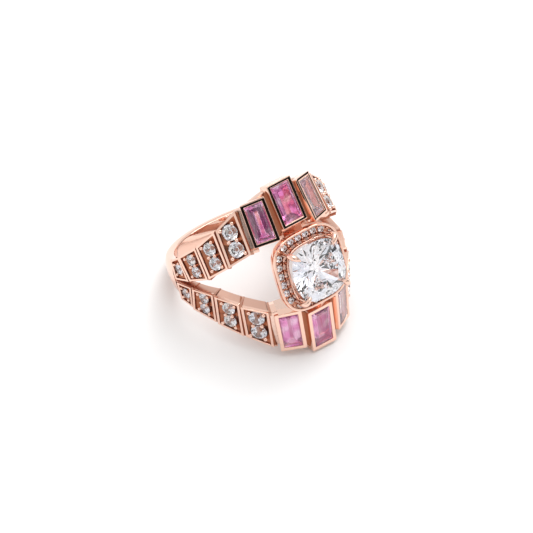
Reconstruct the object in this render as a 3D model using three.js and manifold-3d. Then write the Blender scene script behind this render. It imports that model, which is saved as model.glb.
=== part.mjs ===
// A split-shank cocktail ring, lying on its side as it rests on a table.
//
// The ring is designed upright in its own frame: X points from the finger's centre to the head,
// Y runs across the head, and Z is the axis of the finger. Azimuth is measured from +X.
// One quarter of the stepped arms is drawn (right side, +Y, and upper side, +Z) and mirrored.
// At the end the whole ring is tilted to its resting attitude and stood on z = 0.
import * as THREE from 'three';
import { mergeVertices } from 'three/addons/utils/BufferGeometryUtils.js';
import Module from 'manifold-3d';

const wasm = await Module();
wasm.setup();

// ---------------------------------------------------------------------------------------------
// Driving dimensions, in millimetres and degrees
// ---------------------------------------------------------------------------------------------
const BORE_RADIUS = 8.65;
const BORE_SEGMENTS = 72;
const CLEARANCE = 0.03;
// Longer than anything that is cut: the finger hole's cutter, cuts above a face and light holes.
const BORE_CUTTER = 40;
const CUT_ABOVE = 1;
const LIGHT_CUT = 5;

// Edges of the stepped arm where one step meets the next: azimuth, height along the finger, radius.
// The inner edge looks at the other arm and the outer edge looks away from it.
const INNER_EDGE = [
  [97.0, 0.14, 9.92],
  [80.5, 0.45, 9.90],
  [61.8, 1.03, 10.17],
  [45.2, 2.38, 10.71],
  [29.1, 3.80, 11.50],
];
const OUTER_EDGE = [
  [99.0, 2.35, 9.78],
  [86.8, 3.20, 9.66],
  [67.4, 4.74, 9.68],
  [49.4, 6.62, 9.69],
  [31.6, 8.59, 9.78],
];
const STEP_GROOVE = 0.11;
const STEP_RISE = 0.1;
const STEP_DEPTH = 0.85;
const STEP_RIM_SIDE = 0.3;
const STEP_RIM_END = 0.22;
const TRAY_DEPTH = 0.22;
const RAIL_DROP = 0.42;
const RAIL_INSET = 0.02;
// How far each side of the rail leans towards the other arm, per millimetre of depth.
const INNER_LEAN = 0.11;
const OUTER_LEAN = 0.25;
const ARM_START = 99.75;
const ARM_END = 29.6;
const ARM_SLICES = 12;
// All lofted pieces start inside the finger hole, which is cut out of them afterwards.
const LOFT_FLOOR = BORE_RADIUS - 0.4;
// Narrow walls that stand proud of the inner flank where a step ends: how far they start before
// the joint and end past it along the band, how proud they stand and how deep they reach.
const FIN_BEFORE = 0.06;
const FIN_PAST = 0.28;
const FIN_PROUD = 0.12;
const FIN_DEPTH = 0.13;
const FIN_DROP = 0.1;
const FIN_LEAN = 0.05;

// Round stones on each step, from the back to the head: diameter, how many, distance between them.
const ROUND_SIDES = 8;
const STEP_STONES = [
  { diameter: 1.3, count: 1, spacing: 0, beads: 0.16 },
  { diameter: 1.36, count: 2, spacing: 1.46, beads: 0.16 },
  { diameter: 1.62, count: 2, spacing: 1.76, beads: 0.18 },
  { diameter: 1.9, count: 2, spacing: 2.04, beads: 0.2 },
];

// Baguette bezels on the right of the head: four corners of the rim, in order back outer,
// back inner, head inner, head outer, each as azimuth, height, radius.
const SIDE_BEZEL = [
  [28.3, 9.18, 10.14],
  [26.6, 4.23, 11.41],
  [12.2, 4.45, 11.95],
  [12.6, 9.53, 10.55],
];
const MIDDLE_BEZEL = [
  [8.8, 10.42, 10.38],
  [7.9, 5.27, 11.69],
  [-7.9, 5.27, 11.69],
  [-8.8, 10.42, 10.38],
];
const BEZEL_DEPTH = 1.12;
const BEZEL_WALL = 0.33;
const BEZEL_WALL_END = 0.36;
const BEZEL_LEDGE = 0.3;
const BEZEL_THROAT = 0.62;
const PEDESTAL_INSET = 0.05;
const PEDESTAL_REACH = 2.2;
const LIGHT_HOLE_SIDE = 1.0;
const LIGHT_HOLE_END = 0.85;

// Bridge under three bezels: at its ends and in the middle, lower and upper height along the
// finger, and the radius of its top at those heights.
const BRIDGE_END = 29.2;
const BRIDGE_SLICES = 16;
const BRIDGE_LOW = [4.0, 4.75];
const BRIDGE_HIGH = [8.5, 9.75];
const BRIDGE_LOW_RADIUS = [10.2, 10.3];
const BRIDGE_HIGH_RADIUS = [9.3, 9.4];

// Round stones, as shares of the diameter, and beads, as shares of the radius.
const BRILLIANT = { culet: 0.43, girdle: 0.015, table: 0.28, crown: 0.16 };
const BEAD = { waist: -0.2, shoulder: 0.7, shoulderLevel: 0.6, lift: 0.6 };
const BEAD_SIDES = 6;

// Baguette stones.
const BAGUETTE_GIRDLE = 0.16;
const BAGUETTE_CROWN = 0.22;
const BAGUETTE_PAVILION = 0.8;
// Rows of facets: inset from the girdle, and share of the crown or pavilion.
const BAGUETTE_BREAK = { inset: 0.16, share: 0.65 };
const BAGUETTE_TABLE_INSET = 0.34;
const BAGUETTE_STEP = { inset: 0.42, share: 0.5 };
const BAGUETTE_KEEL_INSET = 0.94;

// Head.
const HALO_TOP = 12.3;
const HALO_HEIGHT = 1.15;
const HALO_HALF = 4.55;
const HALO_RIM = 0.25;
const INNER_WALL_LEAN = 0.02;
const HALO_FOOT_INSET = 0.16;
const HALO_SHOULDER = 0.45;
const CHANNEL_GROOVE = 0.48;
const HALO_SQUARENESS = 3.3;
const CHANNEL_DEPTH = 0.26;
const CHANNEL_OUTER = 4.28;
const CHANNEL_INNER = 3.52;
const INNER_WALL_TOP = 13.1;
const INNER_WALL = 0.3;
const HALO_HOLE = 2.75;
const HALO_SEGMENTS = 40;
const COLLAR_SEGMENTS = 24;
const ACCENT_DIAMETER = 0.78;
const ACCENT_SIDES = 6;
const ACCENTS_PER_SIDE = 6;
const ACCENT_ROW = 3.9;
const ACCENT_SPREAD = 1.04;
const ACCENT_LINK = { rise: 0.03, width: 0.06 };
const GALLERY_TOP = 3.35;
const GALLERY_FOOT = 2.5;
const GALLERY_WALL = 0.5;
const GALLERY_BASE = 9.75;
const WEB_HALF_WIDTH = 1.35;
const WEB_LOW = 9.55;
const WEB_HIGH = 10.4;
const WEB_REACH = 4.95;
const WEB_OVERLAP = 0.3;

// Centre stone and its claws.
const CENTRE_HALF = 3.36;
const CENTRE_SQUARENESS = 3.3;
const CENTRE_GIRDLE = 13.82;
const CENTRE_CROWN = 0.9;
const CENTRE_PAVILION = 2.75;
const CENTRE_TABLE = 0.6;
const CENTRE_GIRDLE_HALF = 0.07;
const CENTRE_CULET = 0.03;
// Breaks in the crown and the pavilion: share of the half width, and share of the height.
const CENTRE_BREAK = { size: 0.84, rise: 0.6 };
const CENTRE_BULGE = { size: 0.62, drop: 0.45 };
const CENTRE_SEGMENTS = 32;
const CLAW_RADIUS = 0.27;
const CLAW_SIDES = 8;
// Route of a claw: level, distance from the middle along both sides, share of the radius.
const CLAW_ROUTE = [
  [11.5, 2.95, 1.0],
  [12.8, 2.96, 1.0],
  [13.5, 3.0, 1.15],
  [14.02, 2.9, 1.2],
  [14.28, 2.64, 0.95],
  [14.34, 2.3, 0.45],
];

// Angle between the head's direction and the table when the ring lies on its side.
const REST_TILT = 26.33;

// Shank.
const SHANK_START = 100;
const SHANK_SLICES = 28;
const SHANK_WIDE = 2.3;
const SHANK_NARROW = 1.0;
const SHANK_RADIUS_WIDE = 9.85;
const SHANK_RADIUS_NARROW = 10.12;
const SHANK_EDGE = 0.62;
const SHANK_ARC_POINTS = 7;
const SHANK_BULGE = 0.7;
const SHANK_TAPER = 0.8;
const SHANK_FOOT = 0.97;

// ---------------------------------------------------------------------------------------------
// Materials
// ---------------------------------------------------------------------------------------------
const roseGold = new THREE.MeshStandardMaterial({ color: 0xe8b49e, roughness: 0.16, metalness: 1 });
const clearStone = new THREE.MeshStandardMaterial({ color: 0xe9edf4, roughness: 0.03, metalness: 0 });
const pinkStone = new THREE.MeshStandardMaterial({ color: 0xb0478f, roughness: 0.03, metalness: 0 });
const paleStone = new THREE.MeshStandardMaterial({ color: 0xdba0b8, roughness: 0.03, metalness: 0 });

// ---------------------------------------------------------------------------------------------
// Geometry helpers
// ---------------------------------------------------------------------------------------------
const { degToRad, lerp } = THREE.MathUtils;

/** A point at an azimuth in degrees, a height along the finger and a radius. */
function polar(azimuth, height, radius) {
  const angle = degToRad(azimuth);
  return new THREE.Vector3(radius * Math.cos(angle), radius * Math.sin(angle), height);
}

/** Closed solid through a row of loops with equal numbers of points, with a flat cap on each end. */
function loft(loops) {
  const sides = loops[0].length;
  const positions = loops.flat().flatMap((point) => point.toArray());
  const triangles = [];
  for (let row = 0; row + 1 < loops.length; row += 1) {
    for (let side = 0; side < sides; side += 1) {
      const next = (side + 1) % sides;
      const a = row * sides + side;
      const b = row * sides + next;
      triangles.push(a, b, b + sides, a, b + sides, a + sides);
    }
  }
  const last = (loops.length - 1) * sides;
  for (let side = 1; side + 1 < sides; side += 1) {
    triangles.push(0, side + 1, side);
    triangles.push(last, last + side, last + side + 1);
  }
  return facingOut(positions, triangles);
}

/** Closed ring-shaped solid: every loop is joined to the next, and the last to the first. */
function ringLoft(loops) {
  const sides = loops[0].length;
  const positions = loops.flat().flatMap((point) => point.toArray());
  const triangles = [];
  for (let row = 0; row < loops.length; row += 1) {
    const next = ((row + 1) % loops.length) * sides;
    for (let side = 0; side < sides; side += 1) {
      const after = (side + 1) % sides;
      const a = row * sides + side;
      const b = row * sides + after;
      triangles.push(a, b, next + after, a, next + after, next + side);
    }
  }
  return facingOut(positions, triangles);
}

/** Indexed geometry whose triangles are turned round if they enclose a negative volume. */
function facingOut(positions, triangles) {
  let volume = 0;
  const corner = (index) => new THREE.Vector3().fromArray(positions, 3 * index);
  for (let i = 0; i < triangles.length; i += 3) {
    const [a, b, c] = [corner(triangles[i]), corner(triangles[i + 1]), corner(triangles[i + 2])];
    volume += a.dot(b.cross(c));
  }
  const indices = volume > 0 ? triangles : triangles.slice().reverse();
  const geometry = new THREE.BufferGeometry();
  geometry.setAttribute('position', new THREE.Float32BufferAttribute(positions, 3));
  geometry.setIndex(indices);
  return geometry;
}

/** Copy of a geometry mirrored to the other side in Y, in Z or in both. */
function mirrored(geometry, sideY, sideZ) {
  const positions = Array.from(geometry.attributes.position.array, (value, i) => {
    const factor = [1, sideY, sideZ][i % 3];
    return value * factor;
  });
  return facingOut(positions, Array.from(geometry.index.array));
}

/** A manifold solid from a geometry, with its vertices merged to bare positions. */
function solid(geometry) {
  const bare = geometry.clone();
  for (const name of Object.keys(bare.attributes)) {
    if (name !== 'position') bare.deleteAttribute(name);
  }
  const merged = mergeVertices(bare, 1e-5);
  return new wasm.Manifold(new wasm.Mesh({
    numProp: 3,
    vertProperties: new Float32Array(merged.attributes.position.array),
    triVerts: new Uint32Array(merged.index.array),
  }));
}

/** Union of several geometries as one solid. */
function joined(geometries) {
  return geometries.map(solid).reduce((sum, part) => sum.add(part));
}

/** Geometry of a manifold solid. */
function geometryOf(body) {
  const mesh = body.getMesh();
  const geometry = new THREE.BufferGeometry();
  geometry.setAttribute('position', new THREE.Float32BufferAttribute(mesh.vertProperties, 3));
  geometry.setIndex(Array.from(mesh.triVerts));
  return geometry;
}

/** The finger hole as a solid, for cutting. */
function boreSolid() {
  const cylinder = new THREE.CylinderGeometry(BORE_RADIUS, BORE_RADIUS, BORE_CUTTER, BORE_SEGMENTS);
  cylinder.rotateX(Math.PI / 2);
  return solid(cylinder);
}
const bore = boreSolid();

/** Frame of a flat four-cornered face: centre, outward normal and the axis across the band. */
function faceFrame(corners) {
  const centre = corners.reduce((sum, corner) => sum.add(corner), new THREE.Vector3()).divideScalar(4);
  const across = corners[0].clone().add(corners[3]).sub(corners[1]).sub(corners[2]).normalize();
  const diagonalA = corners[2].clone().sub(corners[0]);
  const diagonalB = corners[3].clone().sub(corners[1]);
  const normal = diagonalA.cross(diagonalB).normalize();
  if (normal.x * centre.x + normal.y * centre.y < 0) normal.negate();
  across.addScaledVector(normal, -across.dot(normal)).normalize();
  const along = new THREE.Vector3().crossVectors(across, normal);
  return { centre, normal, across, along };
}

/** Corners of a face in its own plane, as pairs along and across. */
function flatCorners(frame, corners) {
  return corners.map((corner) => {
    const offset = corner.clone().sub(frame.centre);
    return [offset.dot(frame.along), offset.dot(frame.across)];
  });
}

/** Four-cornered outline moved inwards by one distance on its sides and one on its ends. */
function inset(outline, sideDistance, endDistance = sideDistance) {
  const lines = outline.map((start, i) => {
    const end = outline[(i + 1) % 4];
    const direction = [end[0] - start[0], end[1] - start[1]];
    const length = Math.hypot(...direction);
    const normal = [-direction[1] / length, direction[0] / length];
    const inwards = normal[0] * start[0] + normal[1] * start[1] > 0 ? -1 : 1;
    const distance = i % 2 === 0 ? sideDistance : endDistance;
    const shift = [normal[0] * inwards * distance, normal[1] * inwards * distance];
    return { start: [start[0] + shift[0], start[1] + shift[1]], direction };
  });
  return lines.map((line, i) => {
    const before = lines[(i + 3) % 4];
    const [px, py] = line.direction;
    const [qx, qy] = before.direction;
    const gap = [before.start[0] - line.start[0], before.start[1] - line.start[1]];
    const t = (gap[0] * qy - gap[1] * qx) / (px * qy - py * qx);
    return [line.start[0] + t * px, line.start[1] + t * py];
  });
}

/** Points of a flat outline at a height above (or below) a face. */
function raise(frame, outline, height) {
  return outline.map(([along, across]) => frame.centre.clone()
    .addScaledVector(frame.along, along)
    .addScaledVector(frame.across, across)
    .addScaledVector(frame.normal, height));
}

/** Geometry built round the +Z axis, turned so that its axis is a face's normal. */
function onFace(geometry, frame, along, across, height) {
  const matrix = new THREE.Matrix4().makeBasis(frame.along, frame.across, frame.normal);
  const place = raise(frame, [[along, across]], height)[0];
  matrix.setPosition(place);
  return geometry.clone().applyMatrix4(matrix);
}

/** Solid of revolution about +Z through (radius, height) points that start and end on the axis. */
function turned(profile, segments) {
  const points = profile.map(([radius, height]) => new THREE.Vector2(radius, height));
  const geometry = new THREE.LatheGeometry(points, segments);
  geometry.rotateX(Math.PI / 2);
  const merged = mergeVertices(bareCopy(geometry), 1e-5);
  const kept = [];
  const index = merged.index.array;
  for (let i = 0; i < index.length; i += 3) {
    const [a, b, c] = [index[i], index[i + 1], index[i + 2]];
    if (a !== b && b !== c && c !== a) kept.push(a, b, c);
  }
  return facingOut(Array.from(merged.attributes.position.array), kept);
}

/** Copy of a geometry that keeps only its positions. */
function bareCopy(geometry) {
  const bare = geometry.clone();
  bare.deleteAttribute('normal');
  bare.deleteAttribute('uv');
  return bare;
}

/** Round brilliant with its girdle at height zero. */
function brilliant(diameter, segments) {
  const radius = diameter / 2;
  const girdle = BRILLIANT.girdle * diameter;
  const crown = BRILLIANT.crown * diameter;
  return turned([
    [0, -BRILLIANT.culet * diameter],
    [radius, -girdle],
    [radius, girdle],
    [BRILLIANT.table * diameter, crown],
    [0, crown],
  ], segments);
}

/** Seat for a round brilliant: the same cone, a little wider, open at the top. */
function brilliantSeat(diameter, segments) {
  const radius = diameter / 2 + CLEARANCE;
  return turned([
    [0, -BRILLIANT.culet * diameter - 2 * CLEARANCE],
    [radius, -BRILLIANT.girdle * diameter - CLEARANCE],
    [radius, TRAY_DEPTH],
    [0, TRAY_DEPTH],
  ], segments);
}

/** Small bead of metal with its middle at height zero. */
function bead(radius) {
  return turned([
    [0, -radius],
    [radius, BEAD.waist * radius],
    [BEAD.shoulder * radius, BEAD.shoulderLevel * radius],
    [0, radius],
  ], BEAD_SIDES);
}

// ---------------------------------------------------------------------------------------------
// Stepped arms
// ---------------------------------------------------------------------------------------------

/** Height and radius of an arm's edge at any azimuth, on straight lines between its stations. */
function edgeAt(edge, azimuth) {
  let i = 0;
  while (i + 2 < edge.length && azimuth < edge[i + 1][0]) i += 1;
  const [fromAngle, fromHeight, fromRadius] = edge[i];
  const [toAngle, toHeight, toRadius] = edge[i + 1];
  const t = (azimuth - fromAngle) / (toAngle - fromAngle);
  return { height: lerp(fromHeight, toHeight, t), radius: lerp(fromRadius, toRadius, t) };
}

/** Smooth rail that carries the steps, from the shank to the bezel bridge. */
function armRail() {
  const loops = [];
  for (let i = 0; i <= ARM_SLICES; i += 1) {
    const azimuth = lerp(ARM_START, ARM_END, i / ARM_SLICES);
    const inner = edgeAt(INNER_EDGE, azimuth);
    const outer = edgeAt(OUTER_EDGE, azimuth);
    const low = (depth) => inner.height + RAIL_INSET - INNER_LEAN * depth;
    const high = (depth) => outer.height - RAIL_INSET - OUTER_LEAN * depth;
    loops.push([
      polar(azimuth, Math.max(low(inner.radius - LOFT_FLOOR), RAIL_INSET), LOFT_FLOOR),
      polar(azimuth, high(outer.radius - LOFT_FLOOR), LOFT_FLOOR),
      polar(azimuth, high(RAIL_DROP), outer.radius - RAIL_DROP),
      polar(azimuth, Math.max(low(RAIL_DROP), RAIL_INSET), inner.radius - RAIL_DROP),
    ]);
  }
  return loft(loops);
}

/** Narrow wall at the head end of each step, on the flank that looks at the other arm. */
function fins() {
  return INNER_EDGE.slice(1).map(([azimuth, height, radius]) => (
    loft([FIN_BEFORE, -FIN_PAST].map((shift) => {
      const angle = azimuth + THREE.MathUtils.radToDeg(shift / radius);
      const foot = height - FIN_PROUD - FIN_LEAN * (radius - LOFT_FLOOR);
      return [
        polar(angle, foot, LOFT_FLOOR),
        polar(angle, height + FIN_DEPTH, LOFT_FLOOR),
        polar(angle, height + FIN_DEPTH, radius - FIN_DROP),
        polar(angle, height - FIN_PROUD, radius - FIN_DROP),
      ];
    }))));
}

/** Corners of one step: back outer, back inner, head inner, head outer. */
function stepCorners(step) {
  const groove = (radius) => THREE.MathUtils.radToDeg(STEP_GROOVE / 2 / radius);
  const at = (edge, station, towards, rise, spread) => {
    const [azimuth, height, radius] = edge[station];
    return polar(azimuth + towards * groove(radius), height + spread, radius + rise);
  };
  return [
    at(OUTER_EDGE, step, -1, STEP_RISE, STEP_RISE / 2),
    at(INNER_EDGE, step, -1, STEP_RISE, STEP_RISE / 2),
    at(INNER_EDGE, step + 1, 1, 0, -STEP_RISE / 2),
    at(OUTER_EDGE, step + 1, 1, 0, 0),
  ];
}

/** Where the stones of one step sit, as distances along and across its face. */
function stonePlaces(step) {
  const { count, spacing } = STEP_STONES[step];
  return Array.from({ length: count }, (_, i) => [0, (i - (count - 1) / 2) * spacing]);
}

/** Where the beads of one step stand: at the tray's corners and between two stones. */
function beadPlaces(step, tray) {
  const { count, diameter, beads, spacing } = STEP_STONES[step];
  const towards = (corner, stone) => {
    const reach = diameter / 2 + beads + CLEARANCE;
    const direction = [corner[0] - stone[0], corner[1] - stone[1]];
    const length = Math.hypot(...direction);
    return direction.map((value, i) => stone[i] + (value / length) * reach);
  };
  const stones = stonePlaces(step);
  const places = tray.map((corner) => {
    const nearest = stones.reduce((a, b) => (
      Math.hypot(a[0] - corner[0], a[1] - corner[1]) < Math.hypot(b[0] - corner[0], b[1] - corner[1])
        ? a : b));
    return towards(corner, nearest);
  });
  if (count === 2) {
    const reach = diameter / 2 + beads + CLEARANCE;
    const sideways = Math.sqrt(reach ** 2 - (spacing / 2) ** 2);
    places.push([-sideways, 0], [sideways, 0]);
  }
  return places;
}

/** Frame, outline and tray outline of every step. */
const steps = STEP_STONES.map((stones, step) => {
  const corners = stepCorners(step);
  const frame = faceFrame(corners);
  const outline = flatCorners(frame, corners);
  return { frame, outline, tray: inset(outline, STEP_RIM_SIDE, STEP_RIM_END) };
});

/** One stepped arm: rail, four raised steps, sunk trays, seats and beads. */
function steppedArm() {
  const blocks = steps.map(({ frame, outline }) => (
    loft([raise(frame, outline, 0), raise(frame, outline, -STEP_DEPTH)])));
  let arm = joined([armRail(), ...blocks, ...fins()]).subtract(bore);
  steps.forEach(({ frame, tray }, step) => {
    const { diameter, beads } = STEP_STONES[step];
    arm = arm.subtract(solid(loft([raise(frame, tray, CUT_ABOVE), raise(frame, tray, -TRAY_DEPTH)])));
    for (const [along, across] of beadPlaces(step, tray)) {
      const ball = onFace(bead(beads), frame, along, across, -TRAY_DEPTH + BEAD.lift * beads);
      arm = arm.add(solid(ball));
    }
    for (const [along, across] of stonePlaces(step)) {
      const seat = onFace(brilliantSeat(diameter, ROUND_SIDES), frame, along, across, -TRAY_DEPTH);
      arm = arm.subtract(solid(seat));
    }
  });
  return geometryOf(arm);
}

// ---------------------------------------------------------------------------------------------
// Bezels, baguettes and bridges
// ---------------------------------------------------------------------------------------------

/** Frame and outline of a bezel's rim. */
function bezelFace(stations) {
  const corners = stations.map((station) => polar(...station));
  const frame = faceFrame(corners);
  return { frame, outline: flatCorners(frame, corners) };
}

/** Mirror image of a bezel's stations on the other side of the head. */
function acrossHead(stations) {
  return stations.map(([azimuth, height, radius]) => [-azimuth, height, radius]).reverse();
}

const bezelFaces = {
  left: bezelFace(acrossHead(SIDE_BEZEL)),
  middle: bezelFace(MIDDLE_BEZEL),
  right: bezelFace(SIDE_BEZEL),
};

/** Rectangular setting with a straight mouth, a tapered ledge and an open back. */
function bezelCup({ frame, outline }) {
  const mouth = inset(outline, BEZEL_WALL_END, BEZEL_WALL);
  const throat = inset(mouth, BEZEL_LEDGE);
  const block = loft([raise(frame, outline, 0), raise(frame, outline, -BEZEL_DEPTH)]);
  const window = loft([
    raise(frame, mouth, CUT_ABOVE),
    raise(frame, mouth, -BAGUETTE_GIRDLE - 2 * CLEARANCE),
    raise(frame, throat, -BEZEL_THROAT * BEZEL_DEPTH),
    raise(frame, throat, -BEZEL_DEPTH - CUT_ABOVE),
  ]);
  return geometryOf(solid(block).subtract(solid(window)));
}

/** Step-cut baguette that fills a bezel's mouth. */
function baguette({ frame, outline }) {
  const girdle = inset(outline, BEZEL_WALL_END + CLEARANCE, BEZEL_WALL + CLEARANCE);
  const crown = inset(girdle, BAGUETTE_BREAK.inset);
  const table = inset(girdle, BAGUETTE_TABLE_INSET);
  const pavilion = inset(girdle, BAGUETTE_STEP.inset);
  const keel = inset(girdle, BAGUETTE_KEEL_INSET);
  return loft([
    raise(frame, table, BAGUETTE_CROWN - BAGUETTE_GIRDLE),
    raise(frame, crown, BAGUETTE_BREAK.share * BAGUETTE_CROWN - BAGUETTE_GIRDLE),
    raise(frame, girdle, -BAGUETTE_GIRDLE + CLEARANCE),
    raise(frame, girdle, -BAGUETTE_GIRDLE - CLEARANCE),
    raise(frame, pavilion, -BAGUETTE_GIRDLE - BAGUETTE_STEP.share * BAGUETTE_PAVILION),
    raise(frame, keel, -BAGUETTE_GIRDLE - BAGUETTE_PAVILION),
  ]);
}

/** Rail under one row of bezels: a curved bar, a pedestal under each bezel and open backs. */
function bezelBridge() {
  const loops = [];
  for (let i = 0; i <= BRIDGE_SLICES; i += 1) {
    const azimuth = lerp(-BRIDGE_END, BRIDGE_END, i / BRIDGE_SLICES);
    const bow = Math.cos(degToRad(azimuth * 90 / BRIDGE_END));
    const low = lerp(...BRIDGE_LOW, bow);
    const high = lerp(...BRIDGE_HIGH, bow);
    loops.push([
      polar(azimuth, low, LOFT_FLOOR),
      polar(azimuth, high, LOFT_FLOOR),
      polar(azimuth, high, lerp(...BRIDGE_HIGH_RADIUS, bow)),
      polar(azimuth, low, lerp(...BRIDGE_LOW_RADIUS, bow)),
    ]);
  }
  const pedestals = Object.values(bezelFaces).map(({ frame, outline }) => {
    const foot = inset(outline, PEDESTAL_INSET);
    return loft([
      raise(frame, foot, -BEZEL_DEPTH / 2),
      raise(frame, foot, -BEZEL_DEPTH - PEDESTAL_REACH),
    ]);
  });
  let bridge = joined([loft(loops), ...pedestals]).subtract(bore);
  for (const { frame, outline } of Object.values(bezelFaces)) {
    const room = inset(outline, -CLEARANCE);
    const light = inset(outline, LIGHT_HOLE_SIDE, LIGHT_HOLE_END);
    const bed = -BEZEL_DEPTH - CLEARANCE;
    bridge = bridge
      .subtract(solid(loft([raise(frame, room, CUT_ABOVE), raise(frame, room, bed)])))
      .subtract(solid(loft([raise(frame, light, 0), raise(frame, light, -LIGHT_CUT)])));
  }
  return bridge;
}

// ---------------------------------------------------------------------------------------------
// Head
// ---------------------------------------------------------------------------------------------

/** Point of a rounded square with a given half width, at an angle round the head's axis. */
function cushionPoint(half, squareness, angle, level) {
  const c = Math.cos(angle);
  const s = Math.sin(angle);
  const reach = half / (Math.abs(c) ** squareness + Math.abs(s) ** squareness) ** (1 / squareness);
  return new THREE.Vector3(level, reach * c, reach * s);
}

/** Rounded-square loop round the head's axis. */
function cushionLoop(half, squareness, level, segments) {
  return Array.from({ length: segments }, (_, i) => (
    cushionPoint(half, squareness, (i / segments) * 2 * Math.PI, level)));
}

/** Tapered bar with a round section, along the route of one claw. */
function clawBar(sideY, sideZ, extra) {
  const loops = CLAW_ROUTE.map(([level, reach, scale], i) => {
    const before = CLAW_ROUTE[Math.max(i - 1, 0)];
    const after = CLAW_ROUTE[Math.min(i + 1, CLAW_ROUTE.length - 1)];
    const lean = Math.atan2((before[1] - after[1]) * Math.SQRT2, after[0] - before[0]);
    const radius = CLAW_RADIUS * scale + extra;
    return Array.from({ length: CLAW_SIDES }, (_, side) => {
      const angle = ((side + 0.5) / CLAW_SIDES) * 2 * Math.PI;
      const outwards = radius * Math.cos(angle);
      const sideways = radius * Math.sin(angle);
      const level2 = level + outwards * Math.sin(lean);
      const diagonal = reach * Math.SQRT2 + outwards * Math.cos(lean);
      return new THREE.Vector3(
        level2,
        sideY * (diagonal - sideways) / Math.SQRT2,
        sideZ * (diagonal + sideways) / Math.SQRT2,
      );
    });
  });
  return loft(loops);
}

/** Halo: outer rim, sunk V-shaped channel, raised inner wall and an open middle. */
function haloPlate() {
  const base = HALO_TOP - HALO_HEIGHT;
  const floor = HALO_TOP - CHANNEL_DEPTH;
  const profile = [
    [HALO_HALF - HALO_FOOT_INSET, base],
    [HALO_HALF, HALO_TOP - HALO_SHOULDER],
    [HALO_HALF, HALO_TOP],
    [HALO_HALF - HALO_RIM, HALO_TOP],
    [CHANNEL_OUTER, floor],
    [ACCENT_ROW, floor - CHANNEL_GROOVE * ACCENT_DIAMETER],
    [CHANNEL_INNER, floor],
    [CHANNEL_INNER - INNER_WALL_LEAN, INNER_WALL_TOP],
    [CHANNEL_INNER - INNER_WALL, INNER_WALL_TOP],
    [HALO_HOLE, base],
  ];
  const plate = ringLoft(profile.map(([half, level]) => (
    cushionLoop(half, HALO_SQUARENESS, level, HALO_SEGMENTS))));
  let body = solid(plate);
  for (const [sideY, sideZ] of CORNERS) {
    body = body.subtract(solid(clawBar(sideY, sideZ, CLEARANCE)));
  }
  return body;
}

/** One side's row of halo stones, linked through their girdles so that the row is one body. */
function accentRow() {
  const stone = brilliant(ACCENT_DIAMETER, ACCENT_SIDES);
  stone.rotateY(Math.PI / 2);
  const level = HALO_TOP - CHANNEL_DEPTH + CLEARANCE;
  const places = Array.from({ length: ACCENTS_PER_SIDE }, (_, i) => {
    const offset = (i - (ACCENTS_PER_SIDE - 1) / 2) * ACCENT_SPREAD;
    const share = Math.abs(offset / ACCENT_ROW) ** HALO_SQUARENESS;
    return new THREE.Vector3(level, offset, ACCENT_ROW * (1 - share) ** (1 / HALO_SQUARENESS));
  });
  const link = places.map((place) => [[-1, -1], [1, -1], [1, 1], [-1, 1]].map(([a, b]) => (
    place.clone().add(new THREE.Vector3(ACCENT_LINK.rise * a, 0, ACCENT_LINK.width * b)))));
  const stones = places.map((place) => stone.clone().translate(place.x, place.y, place.z));
  return joined([loft(link), ...stones]);
}

/** Cushion-cut centre stone, larger by some extra on every side when it is used to cut its room. */
function centreStone(extra) {
  const half = CENTRE_HALF + extra;
  const girdle = CENTRE_GIRDLE_HALF + extra;
  const rows = [
    [CENTRE_CULET, CENTRE_GIRDLE - CENTRE_PAVILION],
    [CENTRE_BULGE.size * half, CENTRE_GIRDLE - CENTRE_BULGE.drop * CENTRE_PAVILION - extra],
    [half, CENTRE_GIRDLE - girdle],
    [half, CENTRE_GIRDLE + girdle],
    [CENTRE_BREAK.size * half, CENTRE_GIRDLE + CENTRE_BREAK.rise * CENTRE_CROWN + extra],
    [CENTRE_TABLE * half, CENTRE_GIRDLE + CENTRE_CROWN + extra],
  ];
  return loft(rows.map(([size, level]) => cushionLoop(size, CENTRE_SQUARENESS, level, CENTRE_SEGMENTS)));
}

/** Open collar under the halo, with one web out to each bridge. */
function galleryBody(bridges) {
  const top = HALO_TOP - HALO_HEIGHT - CLEARANCE;
  const profile = [
    [GALLERY_TOP, top],
    [GALLERY_TOP - GALLERY_WALL, top],
    [GALLERY_FOOT - GALLERY_WALL, GALLERY_BASE],
    [GALLERY_FOOT, GALLERY_BASE],
  ];
  let body = solid(ringLoft(profile.map(([half, level]) => (
    cushionLoop(half, HALO_SQUARENESS, level, COLLAR_SEGMENTS)))));
  const length = WEB_REACH - GALLERY_FOOT + WEB_OVERLAP;
  const web = new THREE.BoxGeometry(WEB_HIGH - WEB_LOW, 2 * WEB_HALF_WIDTH, length);
  const middle = WEB_REACH - length / 2;
  for (const side of [1, -1]) {
    body = body.add(solid(web.clone().translate((WEB_HIGH + WEB_LOW) / 2, 0, side * middle)));
  }
  for (const bridge of bridges) body = body.subtract(bridge);
  return body;
}

// ---------------------------------------------------------------------------------------------
// Shank
// ---------------------------------------------------------------------------------------------

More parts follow.
